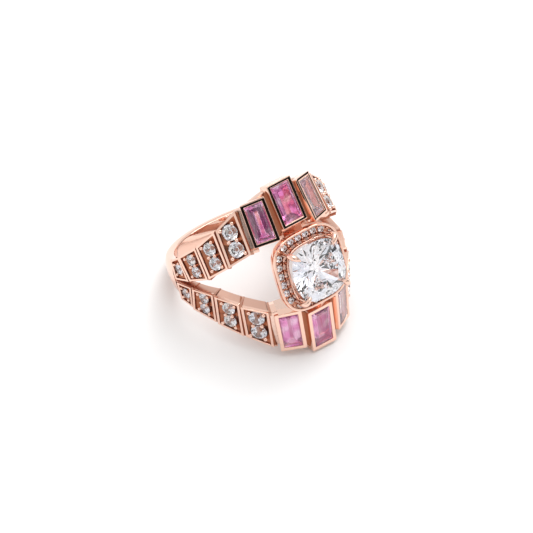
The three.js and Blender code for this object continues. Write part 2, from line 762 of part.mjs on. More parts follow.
/** Plain band round the back: flat inside, rounded outside, narrowest opposite the head. */
function shankBody() {
  const loops = [];
  for (let i = 0; i <= SHANK_SLICES; i += 1) {
    const azimuth = lerp(SHANK_START, 360 - SHANK_START, i / SHANK_SLICES);
    const share = Math.sin(Math.PI * i / SHANK_SLICES) ** SHANK_TAPER;
    const half = lerp(SHANK_WIDE, SHANK_NARROW, share);
    const radius = lerp(SHANK_RADIUS_WIDE, SHANK_RADIUS_NARROW, share);
    const section = [];
    for (let k = 0; k < SHANK_ARC_POINTS; k += 1) {
      const angle = lerp(-Math.PI / 2, Math.PI / 2, k / (SHANK_ARC_POINTS - 1));
      const bulge = Math.max(Math.cos(angle), 0) ** SHANK_BULGE;
      const edge = BORE_RADIUS + SHANK_EDGE;
      section.push(polar(azimuth, half * Math.sin(angle), lerp(edge, radius, bulge)));
    }
    const foot = SHANK_FOOT * half;
    section.push(polar(azimuth, foot, BORE_RADIUS), polar(azimuth, -foot, BORE_RADIUS));
    loops.push(section);
  }
  return loft(loops);
}

// ---------------------------------------------------------------------------------------------
// Assembly
// ---------------------------------------------------------------------------------------------
const CORNERS = [[-1, 1], [1, 1], [1, -1], [-1, -1]];
const SIDES = { left: -1, right: 1 };
const LEVELS = { upper: 1, lower: -1 };
const ring = new THREE.Group();

/** Adds one named mesh to the ring. */
function add(name, geometry, material) {
  const mesh = new THREE.Mesh(geometry, material);
  mesh.name = name;
  ring.add(mesh);
  return mesh;
}

add('shank', shankBody(), roseGold);

const arm = steppedArm();
const bridge = bezelBridge();
const upperBridge = geometryOf(bridge);
const bridges = [];
for (const [level, sideZ] of Object.entries(LEVELS)) {
  const bridgeGeometry = mirrored(upperBridge, 1, sideZ);
  bridges.push(solid(bridgeGeometry));
  add(`${level}_bezel_bridge`, bridgeGeometry, roseGold);
  for (const [side, sideY] of Object.entries(SIDES)) {
    add(`${level}_${side}_stepped_arm`, mirrored(arm, sideY, sideZ), roseGold);
    steps.forEach(({ frame }, step) => {
      const { diameter } = STEP_STONES[step];
      stonePlaces(step).forEach(([along, across], i) => {
        const height = -TRAY_DEPTH + BRILLIANT.girdle * diameter + CLEARANCE;
        const stone = onFace(brilliant(diameter, ROUND_SIDES), frame, along, across, height);
        const tag = ['inner', 'outer'][i];
        const name = STEP_STONES[step].count === 1 ? 'single' : tag;
        add(`${level}_${side}_step_${step + 1}_${name}_stone`, mirrored(stone, sideY, sideZ), clearStone);
      });
    });
  }
  for (const [place, face] of Object.entries(bezelFaces)) {
    add(`${level}_${place}_bezel`, mirrored(bezelCup(face), 1, sideZ), roseGold);
    const material = place === 'right' ? paleStone : pinkStone;
    add(`${level}_${place}_baguette`, mirrored(baguette(face), 1, sideZ), material);
  }
}

add('halo_plate', geometryOf(haloPlate()), roseGold);
add('gallery', geometryOf(galleryBody(bridges)), roseGold);
add('centre_stone', centreStone(0), clearStone);

const stoneRoom = solid(centreStone(CLEARANCE));
CORNERS.forEach(([sideY, sideZ]) => {
  const level = sideZ > 0 ? 'upper' : 'lower';
  const side = sideY > 0 ? 'right' : 'left';
  const claw = solid(clawBar(sideY, sideZ, 0)).subtract(stoneRoom);
  add(`${level}_${side}_claw`, geometryOf(claw), roseGold);
});

const row = geometryOf(accentRow());
['upper', 'left', 'lower', 'right'].forEach((side, quarter) => {
  const turnedRow = row.clone().rotateX(quarter * Math.PI / 2);
  add(`${side}_halo_stones`, turnedRow, clearStone);
});

// Resting attitude: the ring lies on the lower bridge's edge and the shank's lower edge, so the
// head points upwards by the angle between those two contacts. Then it stands on z = 0.
ring.rotation.y = -degToRad(REST_TILT);
ring.updateMatrixWorld(true);
const box = new THREE.Box3().setFromObject(ring, true);
const group = new THREE.Group();
ring.position.set(-(box.min.x + box.max.x) / 2, -(box.min.y + box.max.y) / 2, -box.min.z);
group.add(ring);

export default group;
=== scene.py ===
# %% [markdown]
# # A split-shank cocktail ring in rose gold
# The ring lies on its side on a white table. A plain band runs round the back of the finger and
# splits into two arms. Each arm climbs towards the head in four small trays set with round stones,
# then carries three rectangular settings over the head. A rounded-square halo sits between the
# arms and holds the large clear centre stone.
#
# This script measures a design model of the ring: the shank, the round stones, the flat rims of the
# trays and settings, and the outside of the halo and of the centre stone. A finer surface is worked
# out around each of them with numpy. The bars, pedestals, ties, channel, gallery and claws are
# drawn from sizes written here. Some of it differs from the design model, and each such place is
# named where it is drawn.

# %% Load the fixed frame
import math

import bpy
import numpy as np
from mathutils import Matrix, Vector


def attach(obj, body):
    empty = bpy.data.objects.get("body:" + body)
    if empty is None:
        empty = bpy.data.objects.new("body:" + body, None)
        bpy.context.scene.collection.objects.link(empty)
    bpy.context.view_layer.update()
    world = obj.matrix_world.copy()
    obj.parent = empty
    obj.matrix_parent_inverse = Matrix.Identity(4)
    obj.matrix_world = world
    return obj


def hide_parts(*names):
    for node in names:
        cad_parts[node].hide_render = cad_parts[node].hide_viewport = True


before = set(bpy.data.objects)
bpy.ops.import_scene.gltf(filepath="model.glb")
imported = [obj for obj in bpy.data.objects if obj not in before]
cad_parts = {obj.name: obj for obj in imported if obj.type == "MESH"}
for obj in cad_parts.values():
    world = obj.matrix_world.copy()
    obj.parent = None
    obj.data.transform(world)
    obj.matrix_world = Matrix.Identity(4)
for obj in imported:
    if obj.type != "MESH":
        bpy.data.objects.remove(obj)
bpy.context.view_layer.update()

MM = 0.001
print("nodes in the frame:", len(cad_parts))


# %% [markdown]
# ## Measuring the design model
# A jeweller describes a ring in its own directions: towards the head, across the head, and along
# the finger. The model lies tilted on the table, so its directions are measured first. The centre
# stone's table is the widest flat facet on it, and it looks straight along the head's direction.

# %% Triangles and flat facets
def cad_triangles(node):
    """Triangles of a node on the table, in millimetres, as an array (count, corner, xyz)."""
    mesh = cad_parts[node].data
    points = np.empty(3 * len(mesh.vertices))
    mesh.vertices.foreach_get("co", points)
    mesh.calc_loop_triangles()
    corners = np.empty(3 * len(mesh.loop_triangles), dtype=np.int32)
    mesh.loop_triangles.foreach_get("vertices", corners)
    return points.reshape(-1, 3)[corners].reshape(-1, 3, 3) / MM


def normals_and_areas(triangles):
    """Unit normals and areas: half the cross product of two edges, and its length."""
    cross = np.cross(triangles[:, 1] - triangles[:, 0], triangles[:, 2] - triangles[:, 0])
    length = np.maximum(np.linalg.norm(cross, axis=1), 1e-12)
    return cross / length[:, None], length / 2


SAME_FACET = 0.9998


def widest_facet(triangles):
    """Normal and centre of the flat facet with the largest area.

    Two triangles lie in one facet when the cosine between their normals is over SAME_FACET.
    """
    normals, areas = normals_and_areas(triangles)
    alike = normals @ normals.T > SAME_FACET
    widest = alike[np.argmax(alike @ areas)]
    normal = areas[widest] @ normals[widest]
    centre = areas[widest] @ triangles[widest].mean(axis=1) / areas[widest].sum()
    return normal / np.linalg.norm(normal), centre


TABLE_LEVEL = 14.72
head_way, table_centre = widest_facet(cad_triangles("centre_stone"))
across_way = np.array([0.0, 1.0, 0.0])
finger_way = np.cross(head_way, across_way)
ring_axes = np.stack([head_way, across_way, finger_way])
ring_centre = table_centre - TABLE_LEVEL * head_way
print("head points up by", round(math.degrees(math.asin(head_way[2])), 2), "degrees")


# %% [markdown]
# Points can now be carried between the table and the ring's own directions. Everything is drawn in
# the ring's directions, in millimetres, and only the finished meshes are carried to the table.

# %% Into the ring's own directions and back
def to_ring(points):
    """Millimetres on the table to millimetres in the ring's own directions."""
    return (np.asarray(points) - ring_centre) @ ring_axes.T


def to_table(points):
    """Millimetres in the ring's own directions to metres on the table."""
    return (np.asarray(points) @ ring_axes + ring_centre) * MM


def ring_triangles(node):
    """Triangles of a node in the ring's own directions, in millimetres."""
    return to_ring(cad_triangles(node))


# %% [markdown]
# ## Planes and faces
# Trays, rectangular settings and round stones are all drawn on a plane: pairs along and across the
# band, and a height above it. A tray or a setting is found by the direction that its flat rim
# looks in. Its outline follows from the long diagonal and the points furthest from it.

# %% Planes and four-cornered faces
FACING = 0.9995
TOP_THICKNESS = 0.01
NEAR_GIRDLE = 0.98


class Plane:
    """A plane with a centre, a normal, the way across (towards away) and the way along."""

    def __init__(self, centre, normal, away):
        self.centre = np.asarray(centre, dtype=float)
        self.normal = np.asarray(normal, dtype=float)
        self.across = away - (away @ self.normal) * self.normal
        self.across /= np.linalg.norm(self.across)
        self.along = np.cross(self.across, self.normal)

    def flatten(self, points):
        """Points of the ring to pairs (along, across)."""
        offsets = np.asarray(points) - self.centre
        return np.stack([offsets @ self.along, offsets @ self.across], axis=-1)

    def place(self, pairs, height=0.0):
        """Pairs (along, across) and a height above the plane to points of the ring."""
        pairs = np.asarray(pairs)
        heights = np.broadcast_to(height, pairs.shape[:-1])
        return (self.centre + pairs[..., :1] * self.along + pairs[..., 1:] * self.across
                + heights[..., None] * self.normal)


def away_from_middle(points):
    """Direction along the finger that leads away from the middle of the ring."""
    return np.array([0.0, 0.0, np.sign(np.asarray(points)[..., 2].mean())])


def four_corners(points):
    """Corners of a four-sided outline: the two ends of its long diagonal and the points furthest
    from that diagonal on either side."""
    first = points[np.argmax(np.linalg.norm(points - points.mean(axis=0), axis=1))]
    opposite = points[np.argmax(np.linalg.norm(points - first, axis=1))]
    offsets = np.cross(points - first, opposite - first)
    side = offsets @ offsets[np.argmax(np.linalg.norm(offsets, axis=1))]
    return np.array([first, points[np.argmax(side)], opposite, points[np.argmin(side)]])


def measure_face(node, normal):
    """Plane and outline of the highest flat face of a node along a normal, outer corners first."""
    triangles = ring_triangles(node)
    normals, _ = normals_and_areas(triangles)
    facing = triangles[normals @ normal > FACING]
    heights = facing.mean(axis=1) @ normal
    corners = four_corners(facing[heights > heights.max() - TOP_THICKNESS].reshape(-1, 3))
    outermost = np.argsort(-np.abs(corners[:, 2]))
    away = corners[outermost[:2]].mean(axis=0) - corners[outermost[2:]].mean(axis=0)
    plane = Plane(corners.mean(axis=0), normal, away)
    outline = plane.flatten(corners)
    angles = np.arctan2(outline[:, 1], outline[:, 0]) % (2 * np.pi)
    return plane, outline[np.argsort(angles)]


def measure_round(node):
    """Plane through the girdle of a round stone, and the stone's radius."""
    triangles = ring_triangles(node)
    normal, centre = widest_facet(triangles)
    points = triangles.reshape(-1, 3)
    heights = (points - centre) @ normal
    radii = np.linalg.norm(points - centre - heights[:, None] * normal, axis=1)
    girdle = heights[radii > NEAR_GIRDLE * radii.max()].mean()
    return Plane(centre + girdle * normal, normal, away_from_middle(points)), radii.max()


# %% [markdown]
# A goldsmith sets this ring with many stones. Their places are read one by one: the round stones on
# the steps, the flat rims of the steps, and the flat rims of the rectangular settings.

# %% Measure every setting
LEVELS = ("upper", "lower")
SIDES = ("left", "right")
STEPS = (1, 2, 3, 4)
PLACES = ("left", "middle", "right")


def stones_of(level, side, step):
    """Names of the round stones on one step."""
    tags = ("single",) if step == 1 else ("inner", "outer")
    return [f"{level}_{side}_step_{step}_{tag}_stone" for tag in tags]


rounds = {name: measure_round(name) for level in LEVELS for side in SIDES
          for step in STEPS for name in stones_of(level, side, step)}


def measure_tray(level, side, step):
    """Plane and outline of one step's rim, which looks the way its first stone does."""
    stone_plane, _ = rounds[stones_of(level, side, step)[0]]
    return measure_face(f"{level}_{side}_stepped_arm", stone_plane.normal)


def measure_rim(level, place):
    """Plane and outline of one rectangular setting's rim, which looks the way its stone does."""
    normal, _ = widest_facet(ring_triangles(f"{level}_{place}_baguette"))
    return measure_face(f"{level}_{place}_bezel", normal)


trays = {(level, side, step): measure_tray(level, side, step)
         for level in LEVELS for side in SIDES for step in STEPS}
rims = {(level, place): measure_rim(level, place) for level in LEVELS for place in PLACES}
print("round stones:", len(rounds), "trays:", len(trays), "settings:", len(rims))
print("tray outline:", trays["upper", "left", 4][1].round(2).tolist())


# %% [markdown]
# ## Surfaces as arrays
# Every metal piece here is a profile carried round an outline. The loops of points form a grid,
# and each grid square becomes one face. The ends are closed with a flat cap, or the last loop is
# joined to the first. Pieces are worked out in millimetres and stored in metres on the table.

# %% Skins over loops of points
def skin(loops, joined=False):
    """Closed shell over loops (count, points, xyz): squares between neighbours, caps at the ends.

    The volume under the faces is the sum of corner . (next corner x next corner) over triangles,
    and the faces are turned round where it comes out negative.
    """
    loops = np.asarray(loops, dtype=float)
    count, sides = loops.shape[:2]
    grid = np.arange(count * sides).reshape(count, sides)
    here, there = (grid, np.roll(grid, -1, axis=0)) if joined else (grid[:-1], grid[1:])
    squares = np.stack([here, np.roll(here, -1, axis=1),
                        np.roll(there, -1, axis=1), there], axis=-1)
    faces = squares.reshape(-1, 4).tolist()
    if not joined:
        faces += [grid[0, ::-1].tolist(), grid[-1].tolist()]
    points = loops.reshape(-1, 3)
    return points, outwards(points, faces)


def outwards(points, faces):
    """The same faces, all turned round if they enclose a negative volume."""
    volume = 0.0
    middle = points.mean(axis=0)
    for size in sorted({len(face) for face in faces}):
        corners = points[np.array([face for face in faces if len(face) == size])] - middle
        for k in range(1, size - 1):
            crossed = np.cross(corners[:, k], corners[:, k + 1])
            volume += np.einsum("ij,ij->", corners[:, 0], crossed)
    return faces if volume > 0 else [face[::-1] for face in faces]


def with_painted_shade(shell, amount=1.0):
    """The same shell with an amount of painted shade for each of its points, from 0 to 1."""
    points, faces = shell[:2]
    return points, faces, np.broadcast_to(amount, len(points))


def combine(shells):
    """Several shells as one set of points, faces and amounts of painted shade."""
    points, faces, amounts, start = [], [], [], 0
    for shell in shells:
        shell = shell if len(shell) == 3 else with_painted_shade(shell, 0.0)
        points.append(shell[0])
        faces += [[corner + start for corner in face] for face in shell[1]]
        amounts.append(shell[2])
        start += len(shell[0])
    return np.concatenate(points), faces, np.concatenate(amounts)


# %% [markdown]
# ## From arrays to pieces
# Each part of the ring becomes one mesh object at the origin, with its place in its mesh. A piece
# may be made of several closed shells, as a cast arm carries many soldered beads. Metal is shaded
# smooth up to a crease angle, and stones are shaded flat, because their facets are cut flat. The
# design part that each piece stands for is hidden.

# %% Mesh objects
def make_piece(name, groups, node, flat=False, crease=35.0):
    """A mesh object from groups (material, shells), standing for a node of the design."""
    shells = [shell for _, members in groups for shell in members]
    points, faces, amounts = combine(shells)
    mesh = bpy.data.meshes.new(name)
    mesh.from_pydata(to_table(points).tolist(), [], faces)
    # The amounts of painted shade are stored on the points, for the metal's shader.
    if amounts.any():
        mesh.attributes.new("painted_shade", "FLOAT", "POINT").data.foreach_set("value", amounts)
    counts = [sum(len(shell[1]) for shell in members) for _, members in groups]
    mesh.polygons.foreach_set("material_index", np.repeat(np.arange(len(groups)), counts))
    for material, _ in groups:
        mesh.materials.append(material)
    if flat:
        mesh.shade_flat()
    else:
        mesh.shade_smooth()
        mesh.set_sharp_from_angle(angle=math.radians(crease))
    piece = bpy.data.objects.new(name, mesh)
    bpy.context.collection.objects.link(piece)
    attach(piece, "root")
    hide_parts(node)
    return piece


# %% [markdown]
# ## Outlines and rounded edges
# Polished metal never has a knife edge. Each profile is a row of (inset, height) pairs, and each of
# its corners is replaced by a small arc. Each outline gets small arcs at its corners as well.

# %% Rounded polygons
EDGE_SHARE = 0.45
LEAST_CORNER = 0.03


def round_corners(points, radius, steps=3):
    """Closed polygon whose corners become arcs.

    Each arc is the quadratic curve (1 - t)^2 start + 2 t (1 - t) corner + t^2 end. Its ends are set
    back from the corner by radius, or by a share of the shorter edge where that is less.
    """
    points = np.asarray(points, dtype=float)
    before = np.roll(points, 1, axis=0) - points
    after = np.roll(points, -1, axis=0) - points
    lengths = [np.linalg.norm(edge, axis=1) for edge in (before, after)]
    radius = np.minimum(np.broadcast_to(radius, len(points)), EDGE_SHARE * np.minimum(*lengths))
    start = points + before * (radius / lengths[0])[:, None]
    end = points + after * (radius / lengths[1])[:, None]
    t = np.linspace(0, 1, steps + 1)[None, :, None]
    curve = ((1 - t) ** 2 * start[:, None] + 2 * t * (1 - t) * points[:, None]
             + t ** 2 * end[:, None])
    return curve.reshape(-1, points.shape[1])


def edge_normals(outline):
    """Edges of an outline, and the unit vectors a quarter turn from them."""
    edges = np.roll(outline, -1, axis=0) - outline
    lengths = np.linalg.norm(edges, axis=1)
    return edges, np.stack([-edges[:, 1], edges[:, 0]], axis=1) / lengths[:, None]


def inset(outline, distance):
    """Outline moved inwards: each edge shifts along its normal and neighbours meet again."""
    outline = np.asarray(outline, dtype=float)
    _, normals = edge_normals(outline)
    normals *= np.sign((normals * (outline.mean(axis=0) - outline)).sum(axis=1))[:, None]
    offsets = (normals * outline).sum(axis=1) + distance
    matrices = np.stack([np.roll(normals, 1, axis=0), normals], axis=1)
    values = np.stack([np.roll(offsets, 1), offsets], axis=1)
    return np.linalg.solve(matrices, values[..., None])[..., 0]


def frame_shell(plane, outline, profile, walls, corner, edge):
    """A closed profile of (share of the wall, height) pairs carried round an outline on a plane.

    walls is the wall's thickness at the ends (across the band) and at the sides (along it).
    """
    widths = np.array([walls[0], walls[1], walls[0], walls[1]])
    scaled = [(share * max(walls), height) for share, height in profile]
    loops = []
    for step, height in round_corners(scaled, edge):
        moved = inset(outline, widths * step / max(walls))
        loops.append(plane.place(round_corners(moved, max(corner - step, LEAST_CORNER)), height))
    return skin(loops, joined=True)


# %% [markdown]
# ## Seats and beads
# A stone setter drills a cone into the tray for each stone and then pushes small beads of metal
# over the stone's edge. Each seat here is the piece of floor round one stone: rays from the
# stone's middle run out to the edges of its share of the tray, and in to the cone.

# %% Seats, beads and curved paths
CONE_TIP = 0.1
CONE_LIP = 1.06
LIP_DROP = 0.04
CONE_WALL = 0.1
SLAB = 0.3
DOME_ANGLES = (0, 22, 45, 66, 84)
PIN_FOOT = -1.5


def unit_pairs(angles):
    """Pairs (cosine, sine) of some angles."""
    return np.stack([np.cos(angles), np.sin(angles)], axis=1)


def circle(sides, radius=1.0):
    """Pairs on a circle."""
    return radius * unit_pairs(np.linspace(0, 2 * np.pi, sides, endpoint=False))


def seat(plane, polygon, centre, radius, height, depth, dish=0.0, sides=20):
    """Floor with one conical seat: ray reach = smallest (edge offset) / (ray . edge normal).

    radius is the hole's radius at the floor, depth is the cone's depth under the floor, and dish
    is how far the floor sinks on its way from the rim to the hole.
    """
    corners = np.asarray(polygon) - centre
    edges = np.roll(corners, -1, axis=0) - corners
    normals = np.stack([edges[:, 1], -edges[:, 0]], axis=1)
    normals *= np.sign((normals * corners).sum(axis=1))[:, None]
    offsets = (normals * corners).sum(axis=1)
    towards_corners = np.arctan2(corners[:, 1], corners[:, 0])
    angles = np.concatenate([np.linspace(-np.pi, np.pi, sides, endpoint=False), towards_corners])
    angles.sort()
    rays = unit_pairs(angles)
    rates = rays @ normals.T
    reach = np.where(rates > 1e-9, offsets / np.maximum(rates, 1e-9), np.inf).min(axis=1)
    edge = rays * reach[:, None]
    rows = [(CONE_TIP * radius * rays, -depth - CONE_WALL), (edge, -SLAB), (edge, 0.0),
            (CONE_LIP * radius * rays, -dish), (radius * rays, -dish - LIP_DROP),
            (CONE_TIP * radius * rays, -depth)]
    return skin([plane.place(centre + pairs, height + rise) for pairs, rise in rows])


def bead(plane, middle, height, radius, sides=10):
    """A pin with a domed head: radius times the cosine and height times the sine of an angle."""
    lifts = np.radians(DOME_ANGLES)
    rows = [(1.0, PIN_FOOT)] + list(zip(np.cos(lifts), np.sin(lifts)))
    ring = circle(sides, radius)
    return skin([plane.place(middle + size * ring, height + rise * radius) for size, rise in rows])


def smooth_path(points, count):
    """Catmull-Rom curve through rows of points, with count rows in all.

    Between b and c, with a before them and d after, it is half of
    2b + (c - a) t + (2a - 5b + 4c - d) t^2 + (3b - a - 3c + d) t^3.
    """
    points = np.asarray(points, dtype=float)
    padded = np.concatenate([2 * points[:1] - points[1:2], points,
                             2 * points[-1:] - points[-2:-1]])
    t = np.linspace(0, len(points) - 1, count)
    start = np.minimum(t.astype(int), len(points) - 2)
    t = (t - start)[:, None]
    a, b, c, d = (padded[start + k] for k in range(4))
    return 0.5 * (2 * b + (c - a) * t + (2 * a - 5 * b + 4 * c - d) * t ** 2
                  + (3 * b - a - 3 * c + d) * t ** 3)


# %% [markdown]
# ## Stones
# A brilliant cut has an eight-sided table, eight star facets, eight kites and sixteen upper halves
# on its crown. Below the girdle sixteen lower halves and eight mains meet at the culet. The same
# plan of facets on a rounded-square outline gives the cushion cut of the centre stone. The long
# pink stones are step cut: bands of flat facets that follow the rectangle.

# %% Facets
GIRDLE_HALF = 0.03


def brilliant(plane, radius, reach, crown, pavilion):
    """Brilliant cut: rings of points at (share of the radius, height) joined by flat facets.

    crown is (table, star) and pavilion is (lower half, inner) as pairs of share and height, with
    the culet's height last. Mains stand at multiples of 45 degrees, halves between them.
    """
    mains = np.radians(np.arange(0, 360, 45))
    halves = mains + np.radians(22.5)
    girdle_angles = np.radians(np.arange(0, 360, 22.5))

    def ring(angles, share, height):
        pairs = unit_pairs(angles)
        return plane.place(radius * share * reach(angles)[:, None] * pairs, radius * height)

    table, star = ring(mains, *crown[0]), ring(halves, *crown[1])
    top, bottom = (ring(girdle_angles, 1.0, height) for height in (GIRDLE_HALF, -GIRDLE_HALF))
    lower, inner = ring(halves, *pavilion[0]), ring(mains, *pavilion[1])
    culet = plane.place(np.zeros((1, 2)), radius * pavilion[2])
    points = np.concatenate([table, star, top, bottom, lower, inner, culet])
    t, s, g, b, w, i, c = 0, 8, 16, 32, 48, 56, 64
    faces = [list(range(8))]
    for k in range(8):
        n, p = (k + 1) % 8, (k - 1) % 8
        m, m1, m2 = 2 * k, 2 * k + 1, (2 * k + 2) % 16
        faces += [[t + n, t + k, s + k], [t + k, s + p, g + m, s + k],
                  [s + k, g + m, g + m1], [s + k, g + m1, g + m2],
                  [g + m, b + m, b + m1, g + m1], [g + m1, b + m1, b + m2, g + m2],
                  [b + m, w + k, b + m1], [b + m1, w + k, b + m2],
                  [b + m, w + p, i + k, w + k], [w + k, i + k, i + n], [i + k, c, i + n]]
    return points, outwards(points, consistent(points, faces))


def consistent(points, faces):
    """Faces of a body that bulges everywhere, each wound to look away from the middle."""
    middle = points.mean(axis=0)
    turned = []
    for face in faces:
        corners = points[face]
        normal = np.cross(corners[1] - corners[0], corners[2] - corners[0])
        turned.append(face if normal @ (corners.mean(axis=0) - middle) > 0 else face[::-1])
    return turned


def round_reach(angles):
    """A circle reaches equally far in every direction."""
    return np.ones_like(angles)


SQUARENESS = 3.3


def cushion_reach(angles):
    """Rounded square: 1 / (|cos|^n + |sin|^n)^(1/n)."""
    sums = np.abs(np.cos(angles)) ** SQUARENESS + np.abs(np.sin(angles)) ** SQUARENESS
    return sums ** (-1 / SQUARENESS)


TABLE_SHARE = 0.56
CROWN_RISE = 0.32
CROWN_OVER_GIRDLE = 0.29
STAR_SHARE = 0.78
star_inset = STAR_SHARE * math.cos(math.pi / 8) - TABLE_SHARE
STAR_RISE = CROWN_RISE - star_inset * CROWN_OVER_GIRDLE / (1 - TABLE_SHARE)
ROUND_CROWN = ((TABLE_SHARE, CROWN_RISE), (STAR_SHARE, STAR_RISE))
ROUND_PAVILION = ((0.24, -0.67), (0.12, -0.75), -0.85)

# %% [markdown]
# ## Formulas for shaders
# A shader is a tree of nodes. One small class wraps a node's socket, so that sums and products of
# sockets are written as ordinary formulas and every other node comes from one method.

# %% Sockets in formulas
class Wire:
    """A shader socket that can be used in formulas."""

    def __init__(self, tree, socket=None):
        self.tree = tree
        self.socket = socket

    def node(self, kind, settings=None, inputs=None, output=0):
        """Any node: its type, then its settings, then its socket values or links."""
        node = self.tree.nodes.new(kind)
        for name, value in (settings or {}).items():
            setattr(node, name, value)
        for name, value in (inputs or {}).items():
            self.feed(node.inputs[name], value)
        return Wire(self.tree, node.outputs[output])

    def feed(self, socket, value):
        """Links a wire to a socket, or sets the socket's value."""
        if isinstance(value, Wire):
            self.tree.links.new(value.socket, socket)
        else:
            socket.default_value = value

    def maths(self, operation, first, second=0.0):
        """One Math node."""
        return self.node("ShaderNodeMath", {"operation": operation}, {0: first, 1: second})

    def mix(self, factor, first, second):
        """Mix of two colours by a factor. Sockets 0, 6 and 7 are the factor and both colours."""
        settings = {"data_type": "RGBA", "clamp_factor": True}
        return self.node("ShaderNodeMix", settings, {0: factor, 6: first, 7: second}, 2)

    def __add__(self, other):
        return self.maths("ADD", self, other)

    def __radd__(self, other):
        return self.maths("ADD", other, self)

    def __sub__(self, other):
        return self.maths("SUBTRACT", self, other)

    def __rsub__(self, other):
        return self.maths("SUBTRACT", other, self)

    def __mul__(self, other):
        return self.maths("MULTIPLY", self, other)

    def __rmul__(self, other):
        return self.maths("MULTIPLY", other, self)


def new_material(name, paint):
    """Material whose Principled shader is filled in by a function of a starting wire."""
    material = bpy.data.materials.new(name)
    material.use_nodes = True
    tree = material.node_tree
    shader = tree.nodes["Principled BSDF"]
    start = Wire(tree)
    for socket, value in paint(start).items():
        start.feed(shader.inputs[socket], value)
    return material


# %% [markdown]
# ## Rose gold and stones
# Rose gold is gold alloyed with copper: pink in the light, and orange where it reflects itself.
# Its polish is not perfect, so its roughness drifts a little from place to place. The clear
# stones bend light strongly, and the faint coloured flecks of light they throw are painted into
# their colour as glints. The pink stones bend it less.

# %% Noise, metal and glass
OBJECT_OUTPUT = 3
FACTOR_OUTPUT = 2


def grain(start, size, detail=2.0):
    """Noise between 0 and 1 whose features are about size millimetres across."""
    place = start.node("ShaderNodeTexCoord", output=OBJECT_OUTPUT)
    return start.node("ShaderNodeTexNoise", inputs={
        "Vector": place, "Scale": 1 / (size * MM), "Detail": detail})


# Painted shade: a darker gold, and extra roughness, mixed in where a piece lies in shade.
PAINTED_SHADE_GOLD = (0.42, 0.155, 0.085, 1)
DEEP_ROUGHNESS = 0.25
PALE_TONE = (1.03, 1.05, 1.06)
CLOUD_SIZE = 1.5
SCRATCH_SIZE = 0.12
SCRATCH_DETAIL = 4.0
SCRATCH_STRENGTH = 0.03
SCRATCH_DEPTH = 0.01


def metal(red, green, blue, rough, drift):
    """Paint for metal: colour, roughness and its drift, with painted shade, darker and duller,
    where the shade attribute is 1.
    """
    def paint(start):
        cloud = grain(start, CLOUD_SIZE)
        fine = grain(start, SCRATCH_SIZE, SCRATCH_DETAIL)
        pale = (red * PALE_TONE[0], green * PALE_TONE[1], blue * PALE_TONE[2], 1)
        # This attribute carries the painted shade: it mixes in the darker gold and raises the
        # roughness.
        shade_mask = start.node("ShaderNodeAttribute", {"attribute_name": "painted_shade"},
                          output=FACTOR_OUTPUT)
        bump = start.node("ShaderNodeBump", inputs={
            "Strength": SCRATCH_STRENGTH, "Distance": SCRATCH_DEPTH * MM, "Height": fine})
        polished = start.mix(cloud, (red, green, blue, 1), pale)
        return {"Base Color": start.mix(shade_mask, polished, PAINTED_SHADE_GOLD), "Metallic": 1.0,
                "Roughness": rough + drift * cloud + DEEP_ROUGHNESS * shade_mask, "Normal": bump}
    return paint


# Contrast and level of the painted glints in the stones.
GLINT_CONTRAST = 5.0
GLINT_LEVEL = 0.45


def glass(tint, glint_tint, bend, size, clarity=1.0):
    """Paint for a cut stone: tint, tint of its painted glints of coloured light and their size,
    index of refraction, clarity.
    """
    def paint(start):
        cloud = grain(start, size, 0.0)
        # Painted glints: noise lays patches of a lighter tint into the stone's colour, for the
        # flecks of coloured light a cut stone throws.
        glint_mask = GLINT_CONTRAST * (cloud - GLINT_LEVEL)
        return {"Base Color": start.mix(glint_mask, (*tint, 1), (*glint_tint, 1)),
                "Transmission Weight": clarity, "Roughness": 0.0, "IOR": bend}
    return paint


# %% [markdown]
# Three finishes of the same gold are used: mirror polish outside, a duller one inside the head,
# and a satin one on the rails under the trays. The clear stones bend light about as much as
# zirconia, and the pink ones about as much as sapphire. A little of each pink stone's colour is
# laid on its surface, so that it keeps its colour where the light behind it is dark.

# %% Finishes and stones
CLEAR_BEND = 2.2
PINK_BEND = 1.70

rose_gold = new_material("rose_gold", metal(0.92, 0.61, 0.49, 0.035, 0.03))
inner_gold = new_material("rose_gold_inner", metal(0.86, 0.62, 0.52, 0.22, 0.10))
satin_gold = new_material("rose_gold_satin", metal(0.70, 0.425, 0.33, 0.24, 0.12))
clear_stone = new_material("clear_stone", glass(
    (0.87, 0.89, 0.97), (0.94, 0.92, 0.90), CLEAR_BEND, 0.9))
centre_clear = new_material("centre_clear", glass(
    (0.86, 0.88, 0.97), (0.95, 0.90, 0.90), CLEAR_BEND, 1.6))
pink_stone = new_material("pink_stone", glass(
    (0.84, 0.26, 0.58), (1.0, 0.68, 0.86), PINK_BEND, 1.1, 0.86))
pale_stone = new_material("pale_pink_stone", glass(
    (0.97, 0.74, 0.84), (1.0, 0.93, 0.93), PINK_BEND, 1.3, 0.84))
print("materials:", len(bpy.data.materials))

# %% [markdown]
# ## The shank
# The band round the back is one bar of rose gold, flat where it touches the finger and rounded
# outside. It is narrowest opposite the head. It could be a bevelled curve, but a section that
# changes along a path is plainer to state as a formula. Its widths and radii are read from the
# design.

# %% Shank
END_REACH = 1
BACK_REACH = 4
EDGE_THICKNESS = 0.62
TAPER_POWER = 0.8
BULGE_POWER = 0.7
FOOT_PLACES = np.array([[1.0, 0.97, 0.90, -0.90, -0.97, -1.0]])
FOOT_LIFTS = np.array([[0.08, 0.02, 0.0, 0.0, 0.02, 0.08]])

